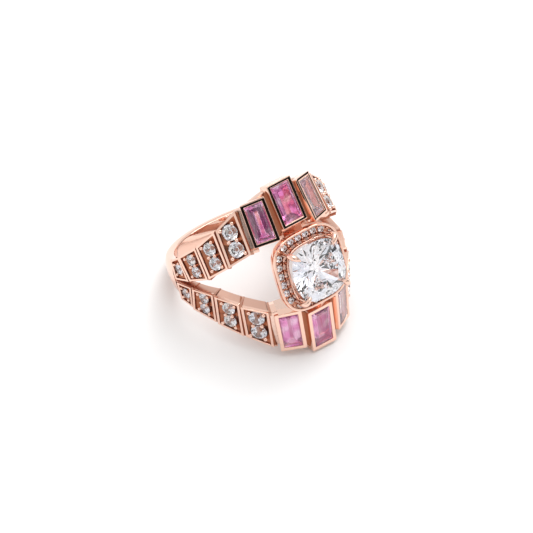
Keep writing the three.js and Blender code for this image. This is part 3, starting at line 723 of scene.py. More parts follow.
shank_points = ring_triangles("shank").reshape(-1, 3)
shank_azimuth = np.degrees(np.arctan2(shank_points[:, 1], shank_points[:, 0])) % 360
shank_radius = np.hypot(shank_points[:, 0], shank_points[:, 1])
shank_start = shank_azimuth.min()
at_end = shank_azimuth < shank_start + END_REACH
at_back = np.abs(shank_azimuth - 180) < BACK_REACH
bore_radius = shank_radius[at_end].min()
end_half, back_half = (np.abs(shank_points[near, 2]).max() for near in (at_end, at_back))
end_radius, back_radius = (shank_radius[near].max() for near in (at_end, at_back))


def polar(azimuth, height, radius):
    """Azimuth in degrees, height and radius to points of the ring."""
    azimuth, height, radius = np.broadcast_arrays(np.radians(azimuth), height, radius)
    return np.stack([radius * np.cos(azimuth), radius * np.sin(azimuth), height], axis=-1)


def shank_shell(slices=120, arc=15):
    """D-shaped section swept round the back: its outside bulges by cos(angle)^BULGE_POWER."""
    azimuth = np.linspace(shank_start, 360 - shank_start, slices)[:, None]
    share = np.sin(np.linspace(0, np.pi, slices))[:, None] ** TAPER_POWER
    half = end_half + (back_half - end_half) * share
    outside = end_radius + (back_radius - end_radius) * share
    angle = np.linspace(-np.pi / 2, np.pi / 2, arc)[None, :]
    bulge = np.cos(angle).clip(0) ** BULGE_POWER
    edge = bore_radius + EDGE_THICKNESS
    heights = half * np.sin(angle)
    radii = edge + (outside - edge) * bulge
    feet = np.broadcast_to(bore_radius + FOOT_LIFTS, (slices, FOOT_LIFTS.size))
    heights = np.concatenate([heights, half * FOOT_PLACES], axis=1)
    radii = np.concatenate([radii, feet], axis=1)
    return skin(polar(azimuth, heights, radii))


make_piece("shank_band", [(rose_gold, [shank_shell()])], "shank", crease=50)
print("bore radius", round(bore_radius, 2))
print("shank half widths", round(end_half, 2), round(back_half, 2))

# %% [markdown]
# ## Stepped arms
# Each arm is a rail with four raised steps. The rail runs below the steps' rims, and its sides lean
# so that the arm is wider on the finger. Its edges are read from the corners of the four steps.
# Each arm is worked out as if it were the upper right one, and signs carry its points back to its
# own quarter, so that one set of formulas serves all four.

# %% Edges of an arm
SIGNS = {"left": -1, "right": 1, "upper": 1, "lower": -1}
RAIL_DROP = 0.22
RAIL_INSET = -0.03
INNER_LEAN = 0.11
OUTER_LEAN = 0.25


def cylinder_coordinates(points):
    """Points to (azimuth from the head in degrees, height away from the middle, radius)."""
    points = np.abs(points) * np.array([0, 1, 1]) + points * np.array([1, 0, 0])
    return np.array([np.degrees(np.arctan2(points[1], points[0])), points[2],
                     np.hypot(points[0], points[1])])


def edge_stations(level, side, across):
    """Stations of an arm's inner (-1) or outer (1) edge: ends, and means of meeting corners."""
    picks = {1: (1, 0), -1: (2, 3)}[across]
    corners = [[cylinder_coordinates(point) for point in plane.place(outline[list(picks)])]
               for plane, outline in (trays[level, side, step] for step in STEPS)]
    corners = [sorted(pair, key=lambda station: -station[0]) for pair in corners]
    middles = [(corners[k][1] + corners[k + 1][0]) / 2 for k in range(len(corners) - 1)]
    return np.array([corners[0][0]] + middles + [corners[-1][1]])


def edges_at(level, side, azimuth):
    """Height and radius of an arm's inner and outer edges at some azimuths."""
    rows = []
    for across in (-1, 1):
        stations = edge_stations(level, side, across)
        order = np.argsort(stations[:, 0])
        rows += [np.interp(azimuth, stations[order, 0], stations[order, k]) for k in (1, 2)]
    return rows


def rail_corners(level, side, inner_azimuth, outer_azimuth, foot):
    """Four corners of the rail under the rims: inner foot, outer foot, outer top, inner top."""
    inner_height, inner_radius, _, _ = edges_at(level, side, inner_azimuth)
    _, _, outer_height, outer_radius = edges_at(level, side, outer_azimuth)

    def low(depth):
        return np.maximum(inner_height + RAIL_INSET - INNER_LEAN * depth, RAIL_INSET)

    def high(depth):
        return outer_height - RAIL_INSET - OUTER_LEAN * depth

    return [polar(inner_azimuth, low(inner_radius - foot), foot),
            polar(outer_azimuth, high(outer_radius - foot), foot),
            polar(outer_azimuth, high(RAIL_DROP), outer_radius - RAIL_DROP),
            polar(inner_azimuth, low(RAIL_DROP), inner_radius - RAIL_DROP)]


def sides_of(level, side):
    """Signs that carry a point of the upper right quarter to another quarter."""
    return np.array([1, SIGNS[side], SIGNS[level]])


# %% [markdown]
# A goldsmith can hollow a rail out from the top so that the stones have room under their seats. The
# hollow here is a guess, drawn because it would show through the seats. Solid ribs cross it where
# two steps meet, and narrow walls show there on the arm's inner flank. A filler closes the gap
# between the last step and the first setting. The design model has the narrow walls, but its rail
# is solid: the hollow, the ribs and the filler are only drawn here.

# %% Rails, ribs and fins
RAIL_ENDS = (99.75, 29.6)
RAIL_WALL = 0.22
RAIL_EDGE = 0.06
TROUGH_DROP = 1.0
TROUGH_FLOOR = 0.15
TROUGH_LEAST = 0.1
RIB_LENGTH = 0.5
RIB_FOOT = 0.1
FIN_SPAN = (0.06, -0.28)
FIN_PROUD = 0.12
FIN_DEPTH = 0.4
FIN_DROP = 0.1
FIN_LEAN = 0.05
FIN_EDGE = 0.08
# Share of painted shade on the narrow walls.
FIN_PAINTED_SHADE = 0.75
FILLER_SPAN = (-0.2, -0.95)
FILLER_PROUD = 0.02


def rail_shell(level, side, slices=49):
    """U-shaped section under the rims, swept from the shank to the bridge.

    Its trough is TROUGH_DROP deep, or less where the finger hole comes near.
    """
    junctions = np.concatenate([edge_stations(level, side, across)[1:-1, 0] for across in (-1, 1)])
    azimuth = np.unique(np.concatenate([np.linspace(*RAIL_ENDS, slices), junctions]))
    foot_in, foot_out, top_out, top_in = rail_corners(level, side, azimuth, azimuth, bore_radius)
    across = (top_out - top_in) / np.linalg.norm(top_out - top_in, axis=1)[:, None]
    down = -polar(azimuth, 0.0, 1.0)
    room = [np.linalg.norm(top[:, :2], axis=1) - bore_radius for top in (top_in, top_out)]
    depths = [np.minimum(TROUGH_DROP - RAIL_DROP, gap - TROUGH_FLOOR).clip(TROUGH_LEAST)[:, None]
              for gap in room]
    corners = [foot_in, foot_out, top_out, top_out - RAIL_WALL * across,
               top_out - RAIL_WALL * across + depths[1] * down,
               top_in + RAIL_WALL * across + depths[0] * down, top_in + RAIL_WALL * across, top_in]
    sections = np.stack(corners, axis=1) * sides_of(level, side)
    return skin([round_corners(section, RAIL_EDGE) for section in sections])


def rib_shells(level, side):
    """Walls across the trough where two steps meet, and at both ends of the rail."""
    inner, outer = (edge_stations(level, side, across) for across in (-1, 1))
    shells = []
    for k in range(len(inner)):
        loops = []
        for shift in (-0.5, 0.5):
            angles = [station[0] + math.degrees(shift * RIB_LENGTH / station[2])
                      for station in (inner[k], outer[k])]
            angles = np.clip(angles, RAIL_ENDS[1], RAIL_ENDS[0])
            corners = rail_corners(level, side, angles[0], angles[1], bore_radius + RIB_FOOT)
            loops.append(np.array(corners) * sides_of(level, side))
        # The ribs are fully darkened with painted shade.
        shells.append(with_painted_shade(skin(loops)))
    return shells


def fin_shell(level, side, station, span, proud):
    """Block on the inner flank, between two distances along the band from a station."""
    azimuth, height, radius = station
    foot = height - proud - FIN_LEAN * (radius - bore_radius)
    section = [(foot, bore_radius), (height + FIN_DEPTH, bore_radius),
               (height + FIN_DEPTH, radius - FIN_DROP), (height - proud, radius - FIN_DROP)]
    heights, radii = round_corners(section, FIN_EDGE).T
    loops = [polar(azimuth + math.degrees(shift / radius), heights, radii) for shift in span]
    return skin(np.array(loops) * sides_of(level, side))


def fin_shells(level, side):
    """Narrow walls that stand proud of the inner flank at the head end of each step, and a filler
    between the last one and the first setting."""
    stations = edge_stations(level, side, -1)[1:]
    # The narrow walls get part of the painted shade, which makes them darker; the filler gets none.
    shells = [with_painted_shade(fin_shell(level, side, station, FIN_SPAN, FIN_PROUD), FIN_PAINTED_SHADE)
              for station in stations]
    return shells + [fin_shell(level, side, stations[-1], FILLER_SPAN, FILLER_PROUD)]


# %% [markdown]
# A step is a thin polished rim round a sunk tray. In the tray stand one or two round stones, held
# by beads at the tray's corners and between the stones. The tray's floor is split between its
# stones, because each seat is drawn as rays from its own stone's middle. The tray's walls and floor
# get a duller polish, and their colour is darkened deeper in as painted shade.

# %% Rims, seats and beads
STEP_WALLS = (0.22, 0.3)
STEP_DEPTH = 0.45
STEP_TRIM = 0.06
STEP_CORNER = 0.1
STEP_EDGE = 0.04
FLOOR_DEPTH = 0.24
FLOOR_DISH = 0.2
FLOOR_TUCK = 0.03
STEP_PROFILE = [(0, -STEP_DEPTH), (0, -0.15), (0, 0), (1, 0), (1.02, -0.12),
                (1.08, -FLOOR_DEPTH - 0.1), (1, -STEP_DEPTH)]
# Depths under a rim's top where its painted shade starts and where it is full.
SHADE_START_DEPTH = 0.03
SHADE_FULL_DEPTH = 0.14
SEAT_SHARE = 0.84
CONE_SHARE = 0.66
BEAD_RADII = {1: 0.18, 2: 0.2, 3: 0.23, 4: 0.26}
BEAD_SINK = 0.3
BEAD_REACH = 0.75


def shares_of(outline, count):
    """The tray's outline, or its outer and inner halves for two stones."""
    if count == 1:
        return [outline]

    def crossing(start, end):
        return start + (end - start) * start[1] / (start[1] - end[1])

    first, second = crossing(outline[1], outline[2]), crossing(outline[3], outline[0])
    return [np.array([first, outline[2], outline[3], second]),
            np.array([outline[0], outline[1], first, second])]


def rim_painted_shade(plane, outline, points):
    """Amount of painted shade, and duller polish, on a step's rim: grows with depth, but not on the
    two flanks of the arm.

    The distance to an edge is (point - corner) . (inward normal), and edges 0 and 2 are flanks.
    """
    pairs = plane.flatten(points)
    depth = -(points - plane.centre) @ plane.normal
    _, normals = edge_normals(outline)
    distances = np.abs(np.einsum("pej,ej->pe", pairs[:, None] - outline[None], normals))
    off_flank = (distances[:, [0, 2]].min(axis=1) / SHADE_START_DEPTH).clip(0, 1)
    return off_flank * ((depth - SHADE_START_DEPTH) / (SHADE_FULL_DEPTH - SHADE_START_DEPTH)).clip(0, 1)


def step_shells(level, side, step):
    """Rim, seats and beads of one step."""
    plane, outline = trays[level, side, step]
    outline = inset(outline, np.array([0.0, STEP_TRIM, 0.0, STEP_TRIM]))
    stones = [rounds[name] for name in stones_of(level, side, step)]
    places = [plane.flatten(stone.centre) for stone, _ in stones]
    radius, size = stones[0][1], BEAD_RADII[step]
    walls = np.array([*STEP_WALLS, *STEP_WALLS])
    floor = inset(outline, walls - FLOOR_TUCK)
    tray = inset(outline, walls)
    rim = frame_shell(plane, outline, STEP_PROFILE, STEP_WALLS, STEP_CORNER, STEP_EDGE)
    # Painted shade: the rim darkens with depth, and the seats under the stones are fully darkened.
    shells = [with_painted_shade(rim, rim_painted_shade(plane, outline, rim[0]))]
    for share, place in zip(shares_of(floor, len(places)), places):
        shells.append(with_painted_shade(seat(plane, share, place, SEAT_SHARE * radius, -FLOOR_DEPTH,
                                    CONE_SHARE * radius, FLOOR_DISH)))
    reach = radius + BEAD_REACH * size
    for corner in tray:
        nearest = min(places, key=lambda place: np.linalg.norm(place - corner))
        way = (corner - nearest) / np.linalg.norm(corner - nearest)
        shells.append(bead(plane, nearest + reach * way, -BEAD_SINK * size, size))
    if len(places) == 2:
        middle = (places[0] + places[1]) / 2
        spacing = np.linalg.norm(places[1] - places[0])
        line = (places[1] - places[0]) / spacing
        sideways = math.sqrt(reach ** 2 - (spacing / 2) ** 2)
        for sign in (-1, 1):
            where = middle + sign * sideways * np.array([line[1], -line[0]])
            shells.append(bead(plane, where, -BEAD_SINK * size, size))
    return shells


# %% [markdown]
# The shells of one arm are joined in one piece, as in the casting. The rail is satin gold and the
# rest is polished. The stones stay pieces of their own, because a setter can lift each one out.

# %% Four arms and their stones
for level in LEVELS:
    for side in SIDES:
        node = f"{level}_{side}_stepped_arm"
        shells = [shell for step in STEPS for shell in step_shells(level, side, step)]
        shells += rib_shells(level, side) + fin_shells(level, side)
        make_piece(f"{node}_fine", [(satin_gold, [rail_shell(level, side)]), (rose_gold, shells)],
                   node)
        for step in STEPS:
            for name in stones_of(level, side, step):
                plane, radius = rounds[name]
                stone = brilliant(plane, radius, round_reach, ROUND_CROWN, ROUND_PAVILION)
                make_piece(f"{name}_cut", [(clear_stone, [stone])], name, flat=True)
print("arms made:", len(LEVELS) * len(SIDES), "round stones made:", len(rounds))

# %% [markdown]
# ## Rectangular settings
# A rectangular stone sits in a box of sheet metal with a ledge inside it, open at the back so that
# light comes through. Three boxes stand side by side, each on its own hollow pedestal that ends on
# the finger hole. Two curved bars and a solid block at each end join them into a bridge. The
# design model has one wide bar in the place of the two, and no blocks. A cut of a box by a box
# would also do, but then the polished edges would have to be bevelled afterwards.

# %% Pedestals, bars and end blocks
BEZEL_DEPTH = 1.12
PEDESTAL_WALL = (0.05, 0.75)
PEDESTAL_CORNER = 0.06
PEDESTAL_OVERLAP = 0.05
BRIDGE_REACH = 29.2
BAR_HALF = 0.35
BAR_EDGE = 0.12
BLOCK_SPAN = (3.9, 8.45)
BLOCK_RISES = (2.25, 0.75)
BLOCK_AZIMUTHS = (25.5, 27.5, 29.9)
BLOCK_EDGE = 0.1
BRIDGE_BARS = ((4.4, 5.1, 1.6), (8.1, 9.35, 0.75))


def down_to_bore(points, direction):
    """How far along a direction points travel before they meet the finger hole's cylinder.

    With p and d flattened on the finger's axis, t solves |p + t d| = bore radius.
    """
    p, d = points[..., :2], np.asarray(direction)[:2]
    a, b, c = d @ d, 2 * p @ d, (p * p).sum(axis=-1) - bore_radius ** 2
    return (-b - np.sqrt(np.maximum(b * b - 4 * a * c, 0))) / (2 * a)


def pedestal_shell(plane, outline):
    """Hollow rectangular foot under a setting, cut to the finger hole."""
    loops = []
    outer, inner = PEDESTAL_WALL
    for step, on_bore in ((outer, False), (outer, True), (inner, True), (inner, False)):
        top = plane.place(round_corners(inset(outline, step), PEDESTAL_CORNER),
                          -BEZEL_DEPTH + PEDESTAL_OVERLAP)
        lengths = down_to_bore(top, -plane.normal)[:, None] if on_bore else 0.0
        loops.append(top - lengths * plane.normal)
    return skin(loops, joined=True)


def bridge_bar(level, inner_end, outer_end, thickness, slices=61):
    """Curved bar under a row of settings.

    Its height is inner_end + (outer_end - inner_end) cos(90 azimuth / BRIDGE_REACH).
    """
    azimuth = np.linspace(-BRIDGE_REACH, BRIDGE_REACH, slices)
    bow = np.cos(np.radians(azimuth * 90 / BRIDGE_REACH))
    middle = inner_end + (outer_end - inner_end) * bow
    low, high = middle - BAR_HALF, middle + BAR_HALF
    top = bore_radius + thickness
    corners = [polar(azimuth, low, bore_radius), polar(azimuth, high, bore_radius),
               polar(azimuth, high, top), polar(azimuth, low, top)]
    sections = np.stack(corners, axis=1) * np.array([1, 1, SIGNS[level]])
    return skin([round_corners(section, BAR_EDGE) for section in sections])


def end_block(level, sign):
    """Solid block that joins the end of a bridge to an arm: a wedge that thins outwards."""
    inner, outer = BLOCK_SPAN
    heights = np.array([inner, outer, outer, inner])
    radii = bore_radius + np.array([0, 0, BLOCK_RISES[1], BLOCK_RISES[0]])
    sections = [polar(sign * azimuth, heights, radii) for azimuth in BLOCK_AZIMUTHS]
    mirror = np.array([1, 1, SIGNS[level]])
    return skin([round_corners(section, BLOCK_EDGE) * mirror for section in sections])


# %% [markdown]
# Neighbouring boxes don't touch, so a short bar ties their side walls together a little under the
# rims. It runs from one wall to the other and overlaps both, as a soldered joint would. The design
# model leaves these gaps open, so nothing collides with a tie.

# %% Ties between settings
TIE_HEIGHTS = (-0.45, -1.15)
TIE_OVERLAP = 0.12
TIE_ENDS = 0.25


def tie_shell(first, second):
    """Solid bar between the side walls of two neighbouring settings, a little under their rims."""
    middles = [plane.centre for plane, _ in (first, second)]
    loops = []
    for (plane, outline), other in ((first, middles[1]), (second, middles[0])):
        moved = inset(outline, np.array([TIE_ENDS, TIE_OVERLAP, TIE_ENDS, TIE_OVERLAP]))
        towards = plane.flatten(other)[0]
        wall = moved[moved[:, 0] * towards > 0]
        wall = wall[np.argsort(wall[:, 1])]
        loops.append(np.concatenate([plane.place(wall, TIE_HEIGHTS[0]),
                                     plane.place(wall[::-1], TIE_HEIGHTS[1])]))
    return skin(loops)


# %% [markdown]
# The long pink stones are step cut, and each of their bands follows the rectangle a little further
# in and lower down. The rim of a box flares slightly at its long sides, where the metal was pushed
# over the stone. The two stones at the right are pale pink and the others are deep pink.

# %% Six settings and two bridges
BEZEL_WALLS = (0.36, 0.33)
RIM_FLARE = 0.06
RIM_LIP = 0.05
BEZEL_CORNER = 0.18
BEZEL_EDGE = 0.06
LEDGE = 1.8
BEZEL_PROFILE = [(0, -BEZEL_DEPTH), (0, 0), (1, 0), (1, -0.24), (LEDGE, -0.75),
                 (LEDGE, -BEZEL_DEPTH)]
GIRDLE_GAP = 0.03
BAGUETTE_ROWS = [(0.44, 0.06), (0.22, 0.0), (0.0, -0.13), (0.0, -0.19), (0.30, -0.52),
                 (0.6, -0.81), (0.92, -1.08)]

for level in LEVELS:
    feet = [end_block(level, -1), end_block(level, 1)]
    for first, second in (("left", "middle"), ("middle", "right")):
        # The ties are fully darkened with painted shade.
        feet.append(with_painted_shade(tie_shell(rims[level, first], rims[level, second])))
    for place in PLACES:
        plane, outline = rims[level, place]
        flared = inset(outline, np.array([0.0, -RIM_FLARE, 0.0, -RIM_FLARE]))
        walls = (BEZEL_WALLS[0] + RIM_LIP, BEZEL_WALLS[1] + RIM_FLARE + RIM_LIP)
        box = frame_shell(plane, flared, BEZEL_PROFILE, walls, BEZEL_CORNER, BEZEL_EDGE)
        make_piece(f"{level}_{place}_bezel_box", [(rose_gold, [box])], f"{level}_{place}_bezel")
        girdle = inset(outline, np.array([*BEZEL_WALLS, *BEZEL_WALLS]) + GIRDLE_GAP)
        cut = skin([plane.place(inset(girdle, step), height) for step, height in BAGUETTE_ROWS])
        finish, slot = ((pale_stone, "pale_pink_stone") if place == "right"
                        else (pink_stone, "pink_stone"))
        make_piece(f"{level}_{place}_baguette_cut", [(finish, [cut])],
                   f"{level}_{place}_baguette", flat=True)
        feet.append(pedestal_shell(plane, outline))
    bars = [bridge_bar(level, *bar) for bar in BRIDGE_BARS]
    make_piece(f"{level}_bridge_fine", [(inner_gold, feet + bars)], f"{level}_bezel_bridge")
print("settings made:", len(rims))

# %% [markdown]
# ## Halo, gallery and claws
# The halo is a rounded-square plate with a sunk channel for small stones and a raised wall round
# the centre stone. A closed profile is carried round the rounded square, so every corner of it can
# be softened at once. The outside leans in a little towards the finger.

# %% Plate of the halo
head = Plane((0, 0, 0), (1, 0, 0), np.array([0.0, 0.0, 1.0]))
halo_points = ring_triangles("halo_plate").reshape(-1, 3)
halo_half = np.abs(halo_points[:, 1]).max()
halo_base = halo_points[:, 0].min()
wall_top = halo_points[:, 0].max()
HALO_TOP = 12.3
HALO_LEAN = 0.16
HALO_BAND = 0.45
HALO_EDGE = 0.065
HALO_CREASE = 30
OPENING = 2.75
WALL_THICKNESS = 0.27
CHANNEL_OUTER = 4.28
CHANNEL_INNER = 3.52
CHANNEL_BODY = 0.6
HALO_PROFILE = [(halo_half - HALO_LEAN, halo_base), (halo_half, HALO_TOP - HALO_BAND),
                (halo_half, HALO_TOP), (CHANNEL_OUTER + 0.02, HALO_TOP),
                (CHANNEL_OUTER + 0.01, HALO_TOP - 0.14), (CHANNEL_OUTER, HALO_TOP - CHANNEL_BODY),
                (CHANNEL_INNER, HALO_TOP - CHANNEL_BODY), (CHANNEL_INNER - 0.01, HALO_TOP - 0.1),
                (CHANNEL_INNER - 0.03, wall_top), (CHANNEL_INNER - WALL_THICKNESS, wall_top),
                (OPENING, halo_base)]


def cushion_loop(half, level, segments=144):
    """Rounded-square loop round the head's direction."""
    angles = np.linspace(0, 2 * np.pi, segments, endpoint=False)
    return head.place(half * cushion_reach(angles)[:, None] * unit_pairs(angles), level)


def cushion_shell(profile, edge):
    """Closed profile of (half width, level) pairs carried round the rounded square."""
    loops = [cushion_loop(half, level) for half, level in round_corners(profile, edge)]
    return skin(loops, joined=True)


# %% [markdown]
# Twenty-four small stones stand in the channel, six to a side. One side is worked out and turned
# round the head by quarter turns. Every stone has a seat of its own, and two beads stand in every
# gap between seats.

# %% Channel of small stones
CHANNEL_DEPTH = 0.26
CHANNEL_SPAN = (3.45, 4.36)
# Share of painted shade on the channel's seats.
CHANNEL_PAINTED_SHADE = 0.8
CHANNEL_MARGINS = (0.04, 0.03)
# Depth under the halo's top where the channel's painted shade starts, and the depth over which it
# grows to full.
CHANNEL_SHADE_START = 0.02
CHANNEL_SHADE_FADE = 0.1
ACCENT_ROW = 3.9
ACCENT_RADIUS = 0.39
ACCENT_SPREAD = 1.04
ACCENTS_PER_SIDE = 6
ACCENT_LIFT = 0.02
ACCENT_SEAT = (0.92, 0.08, 0.27)
SEAT_SIDES = 14
CHANNEL_BEAD_ROWS = (3.66, 4.15)
CHANNEL_BEAD_LIFT = 0.03
CHANNEL_BEAD_RADIUS = 0.13
CHANNEL_BEAD_SIDES = 8
QUARTER_TURN = np.array([[0, -1], [1, 0]])


def accent_places():
    """Middles of the halo's stones, in order round the head, on the channel's middle line.

    On the first side they stand at (offset, row (1 - (|offset| / row)^n)^(1/n)).
    """
    offsets = (np.arange(ACCENTS_PER_SIDE) - (ACCENTS_PER_SIDE - 1) / 2) * ACCENT_SPREAD
    share = np.abs(offsets / ACCENT_ROW) ** SQUARENESS
    side = np.stack([offsets, ACCENT_ROW * (1 - share) ** (1 / SQUARENESS)], axis=1)[::-1]
    places = [side]
    for _ in range(3):
        places.append(places[-1] @ QUARTER_TURN.T)
    return places


accent_sides = accent_places()
all_accents = np.concatenate(accent_sides)
floor_level = HALO_TOP - CHANNEL_DEPTH


def channel_shells():
    """Floor of the channel: a seat for each small stone and two beads in each gap."""
    angles = np.unwrap(np.arctan2(all_accents[:, 1], all_accents[:, 0]))
    closed = np.append(angles, angles[0] + 2 * np.pi)
    borders = (closed[1:] + closed[:-1]) / 2
    around = np.roll(borders, 1)
    share, sink, cone = ACCENT_SEAT
    shells = []
    for place, start, end in zip(all_accents, around, borders):
        ends = np.array([start, end])
        pairs = unit_pairs(ends) * cushion_reach(ends)[:, None]
        polygon = np.concatenate([CHANNEL_SPAN[0] * pairs, CHANNEL_SPAN[1] * pairs[::-1]])
        floor = seat(head, polygon, place, share * ACCENT_RADIUS, floor_level - sink, cone,
                     sides=SEAT_SIDES)
        # The seats in the channel are darkened with painted shade.
        shells.append(with_painted_shade(floor, CHANNEL_PAINTED_SHADE))
    pairs = unit_pairs(borders) * cushion_reach(borders)[:, None]
    for half in CHANNEL_BEAD_ROWS:
        shells += [bead(head, half * pair, floor_level + CHANNEL_BEAD_LIFT, CHANNEL_BEAD_RADIUS,
                        CHANNEL_BEAD_SIDES) for pair in pairs]
    return shells


def channel_painted_shade(points):
    """Painted shade on the halo: full on the channel's walls below its rim, with half width
    (|y|^n + |z|^n)^(1/n)."""
    half = (np.abs(points[:, 1:]) ** SQUARENESS).sum(axis=1) ** (1 / SQUARENESS)
    inside = ((half > CHANNEL_INNER - CHANNEL_MARGINS[0])
              & (half < CHANNEL_OUTER + CHANNEL_MARGINS[1]))
    return inside * ((HALO_TOP - CHANNEL_SHADE_START - points[:, 0]) / CHANNEL_SHADE_FADE).clip(0, 1)


halo_shell = cushion_shell(HALO_PROFILE, HALO_EDGE)
# The channel's walls are darkened with painted shade.
halo_shell = with_painted_shade(halo_shell, channel_painted_shade(halo_shell[0]))
make_piece("halo_fine", [(rose_gold, [halo_shell] + channel_shells())], "halo_plate",
           crease=HALO_CREASE)


def accent_stone(place):
    """Small brilliant at a place of the channel."""
    plane = Plane(head.place(place, floor_level + ACCENT_LIFT), head.normal, head.across)
    return brilliant(plane, ACCENT_RADIUS, round_reach, ROUND_CROWN, ROUND_PAVILION)


for side, places in zip(("upper", "left", "lower", "right"), accent_sides):
    stones = [accent_stone(place) for place in places]
    make_piece(f"{side}_halo_stones_cut", [(clear_stone, stones)], f"{side}_halo_stones",
               flat=True)
print("halo half width", round(halo_half, 2), "small stones", len(all_accents))

# %% [markdown]
# A collar under the halo tapers towards the finger, and two flat webs join it to both bridges. On a
# real ring this is the gallery, an open basket that lets light in under the stone. Its cut is
# hidden by the head, so it is kept plain.

# %% Gallery
COLLAR_TOP = halo_base - 0.03
COLLAR_BASE = 9.75
COLLAR_EDGE = 0.06
GALLERY_PROFILE = [(3.35, COLLAR_TOP), (2.85, COLLAR_TOP), (2.0, COLLAR_BASE), (2.5, COLLAR_BASE)]
WEB_EDGE = 0.1
WEB_SECTION = [(-1.35, 9.55), (1.35, 9.55), (1.35, 10.4), (-1.35, 10.4)]
WEB_REACH = np.array([2.2, 2.8, 3.6, 4.4, 4.95])


def web_shell(sign):
    """Flat bar from the collar out to one bridge."""
    across, level = round_corners(WEB_SECTION, WEB_EDGE).T
    return skin([np.stack([level, across, np.full(len(level), sign * reach)], axis=1)
                 for reach in WEB_REACH])


collar = cushion_shell(GALLERY_PROFILE, COLLAR_EDGE)
make_piece("gallery_fine", [(inner_gold, [collar, web_shell(1), web_shell(-1)])], "gallery")

# %% [markdown]
# The centre stone is a cushion cut, with the plan of facets of a brilliant on a rounded square. Its
# width and its girdle are read from the design. The facets under the girdle decide which lamps and
# cards each part of the stone shows, and their slopes are not measured: they are given here.

# %% Centre stone
NEAR_WIDEST = 0.99
TABLE_HALF = 0.60
STAR_PLACE = (0.80, 0.62)
CENTRE_PAVILION = ((0.40, -0.55), (0.12, -0.76), -0.84)

stone_points = ring_triangles("centre_stone").reshape(-1, 3)
stone_half = np.abs(stone_points[:, 1]).max()
widest = np.abs(stone_points[:, 1]) > NEAR_WIDEST * stone_half
girdle_level = stone_points[widest][:, 0].mean()
stone_crown = (TABLE_LEVEL - girdle_level) / stone_half
centre_crown = ((TABLE_HALF, stone_crown), (STAR_PLACE[0], STAR_PLACE[1] * stone_crown))
girdle_plane = Plane(head.place(np.zeros(2), girdle_level), head.normal, head.across)
centre = brilliant(girdle_plane, stone_half, cushion_reach, centre_crown, CENTRE_PAVILION)
make_piece("centre_stone_cut", [(centre_clear, [centre])], "centre_stone",
           flat=True)
print("centre stone half width", round(stone_half, 2), "girdle at", round(girdle_level, 2))

# %% [markdown]
# Four claws rise through the plate, bend over the centre stone's corners and taper to a point. Each
# is a round bar swept along a smooth curve, and its thickness is part of the curve. One claw is
# worked out, and signs carry it to the other corners.

# %% Claws
CLAW_ROUTE = [(11.5, 2.95, 0.27), (12.8, 2.96, 0.28), (13.5, 3.0, 0.33), (14.02, 2.92, 0.35),
              (14.3, 2.64, 0.29), (14.36, 2.26, 0.11)]


def claw_shell(sign_y, sign_z, sides=14, slices=33):
    """Round bar along a curve in the diagonal plane, whose rows are (level, reach, radius).

    Each loop is a circle across the curve: radius cos(u) along the curve's normal and radius
    sin(u) sideways.
    """
    route = smooth_path(CLAW_ROUTE, slices)
    levels, reach, radii = route[:, 0], route[:, 1] * math.sqrt(2), route[:, 2]
    tangent = np.gradient(np.stack([levels, reach], axis=1), axis=0)
    tangent /= np.linalg.norm(tangent, axis=1)[:, None]
    ring = circle(sides)
    level = levels[:, None] - radii[:, None] * ring[None, :, 0] * tangent[:, 1:]
    diagonal = reach[:, None] + radii[:, None] * ring[None, :, 0] * tangent[:, :1]
    sideways = radii[:, None] * ring[None, :, 1]
    y, z = (diagonal - sideways) / math.sqrt(2), (diagonal + sideways) / math.sqrt(2)
    return skin(np.stack([level, sign_y * y, sign_z * z], axis=-1))


for level in LEVELS:
    for side in SIDES:
        claw = claw_shell(SIGNS[side], SIGNS[level])
        make_piece(f"{level}_{side}_claw_fine", [(rose_gold, [claw])], f"{level}_{side}_claw")
print("claws made:", len(LEVELS) * len(SIDES))

# %% [markdown]
# ## Studio
# The ring lies on a wide white table. The table and the cards round it are plain rectangles with a
# matt paint, whose tone drifts by two per cent from place to place as card and paper do.

# %% Table and cards
CARD_ROUGHNESS = 0.9
CARD_DRIFT = 0.98
CARD_GRAIN = 40.0
LEVEL_COSINE = 0.99
TABLE_WIDTH = 4.0
TABLE_DROP = 0.00002


def flat_material(name, colour):
    """Plain material of the studio."""
    def paint(start):
        drift = grain(start, CARD_GRAIN)
        second = (*(CARD_DRIFT * share for share in colour), 1)
        return {"Base Color": start.mix(drift, (*colour, 1), second),
                "Roughness": CARD_ROUGHNESS, "Specular IOR Level": 0.0}
    return new_material(name, paint)


def panel(name, centre, normal, width, height, material):
    """Flat rectangle that looks along a normal, in metres."""
    normal = np.asarray(normal, dtype=float) / np.linalg.norm(normal)
    level = abs(normal[2]) >= LEVEL_COSINE
    side = np.array([1.0, 0, 0]) if level else np.cross([0, 0, 1], normal)
    side /= np.linalg.norm(side)
    up = np.cross(normal, side)
    corners = [np.asarray(centre) + a * width / 2 * side + b * height / 2 * up
               for a, b in ((-1, -1), (1, -1), (1, 1), (-1, 1))]
    mesh = bpy.data.meshes.new(name)
    mesh.from_pydata([tuple(corner) for corner in corners], [], [(0, 1, 2, 3)])
    mesh.materials.append(material)
    piece = bpy.data.objects.new(name, mesh)
    bpy.context.collection.objects.link(piece)
    return piece


white_table = flat_material("white_table", (0.92, 0.92, 0.92))
black_card = flat_material("black_card", (0.01, 0.01, 0.01))
panel("table_top", (0, 0, -TABLE_DROP), (0, 0, 1), TABLE_WIDTH, TABLE_WIDTH, white_table)

# %% [markdown]
# A white world and two large square lamps give soft light from above. Polished metal and cut stones
# only show what stands round them, so a few dark cards give them their black lines. One of the
# cards stands behind the camera, and the flat facets that face the lens show it.

# %% Lamps and dark cards
WORLD_STRENGTH = 0.91


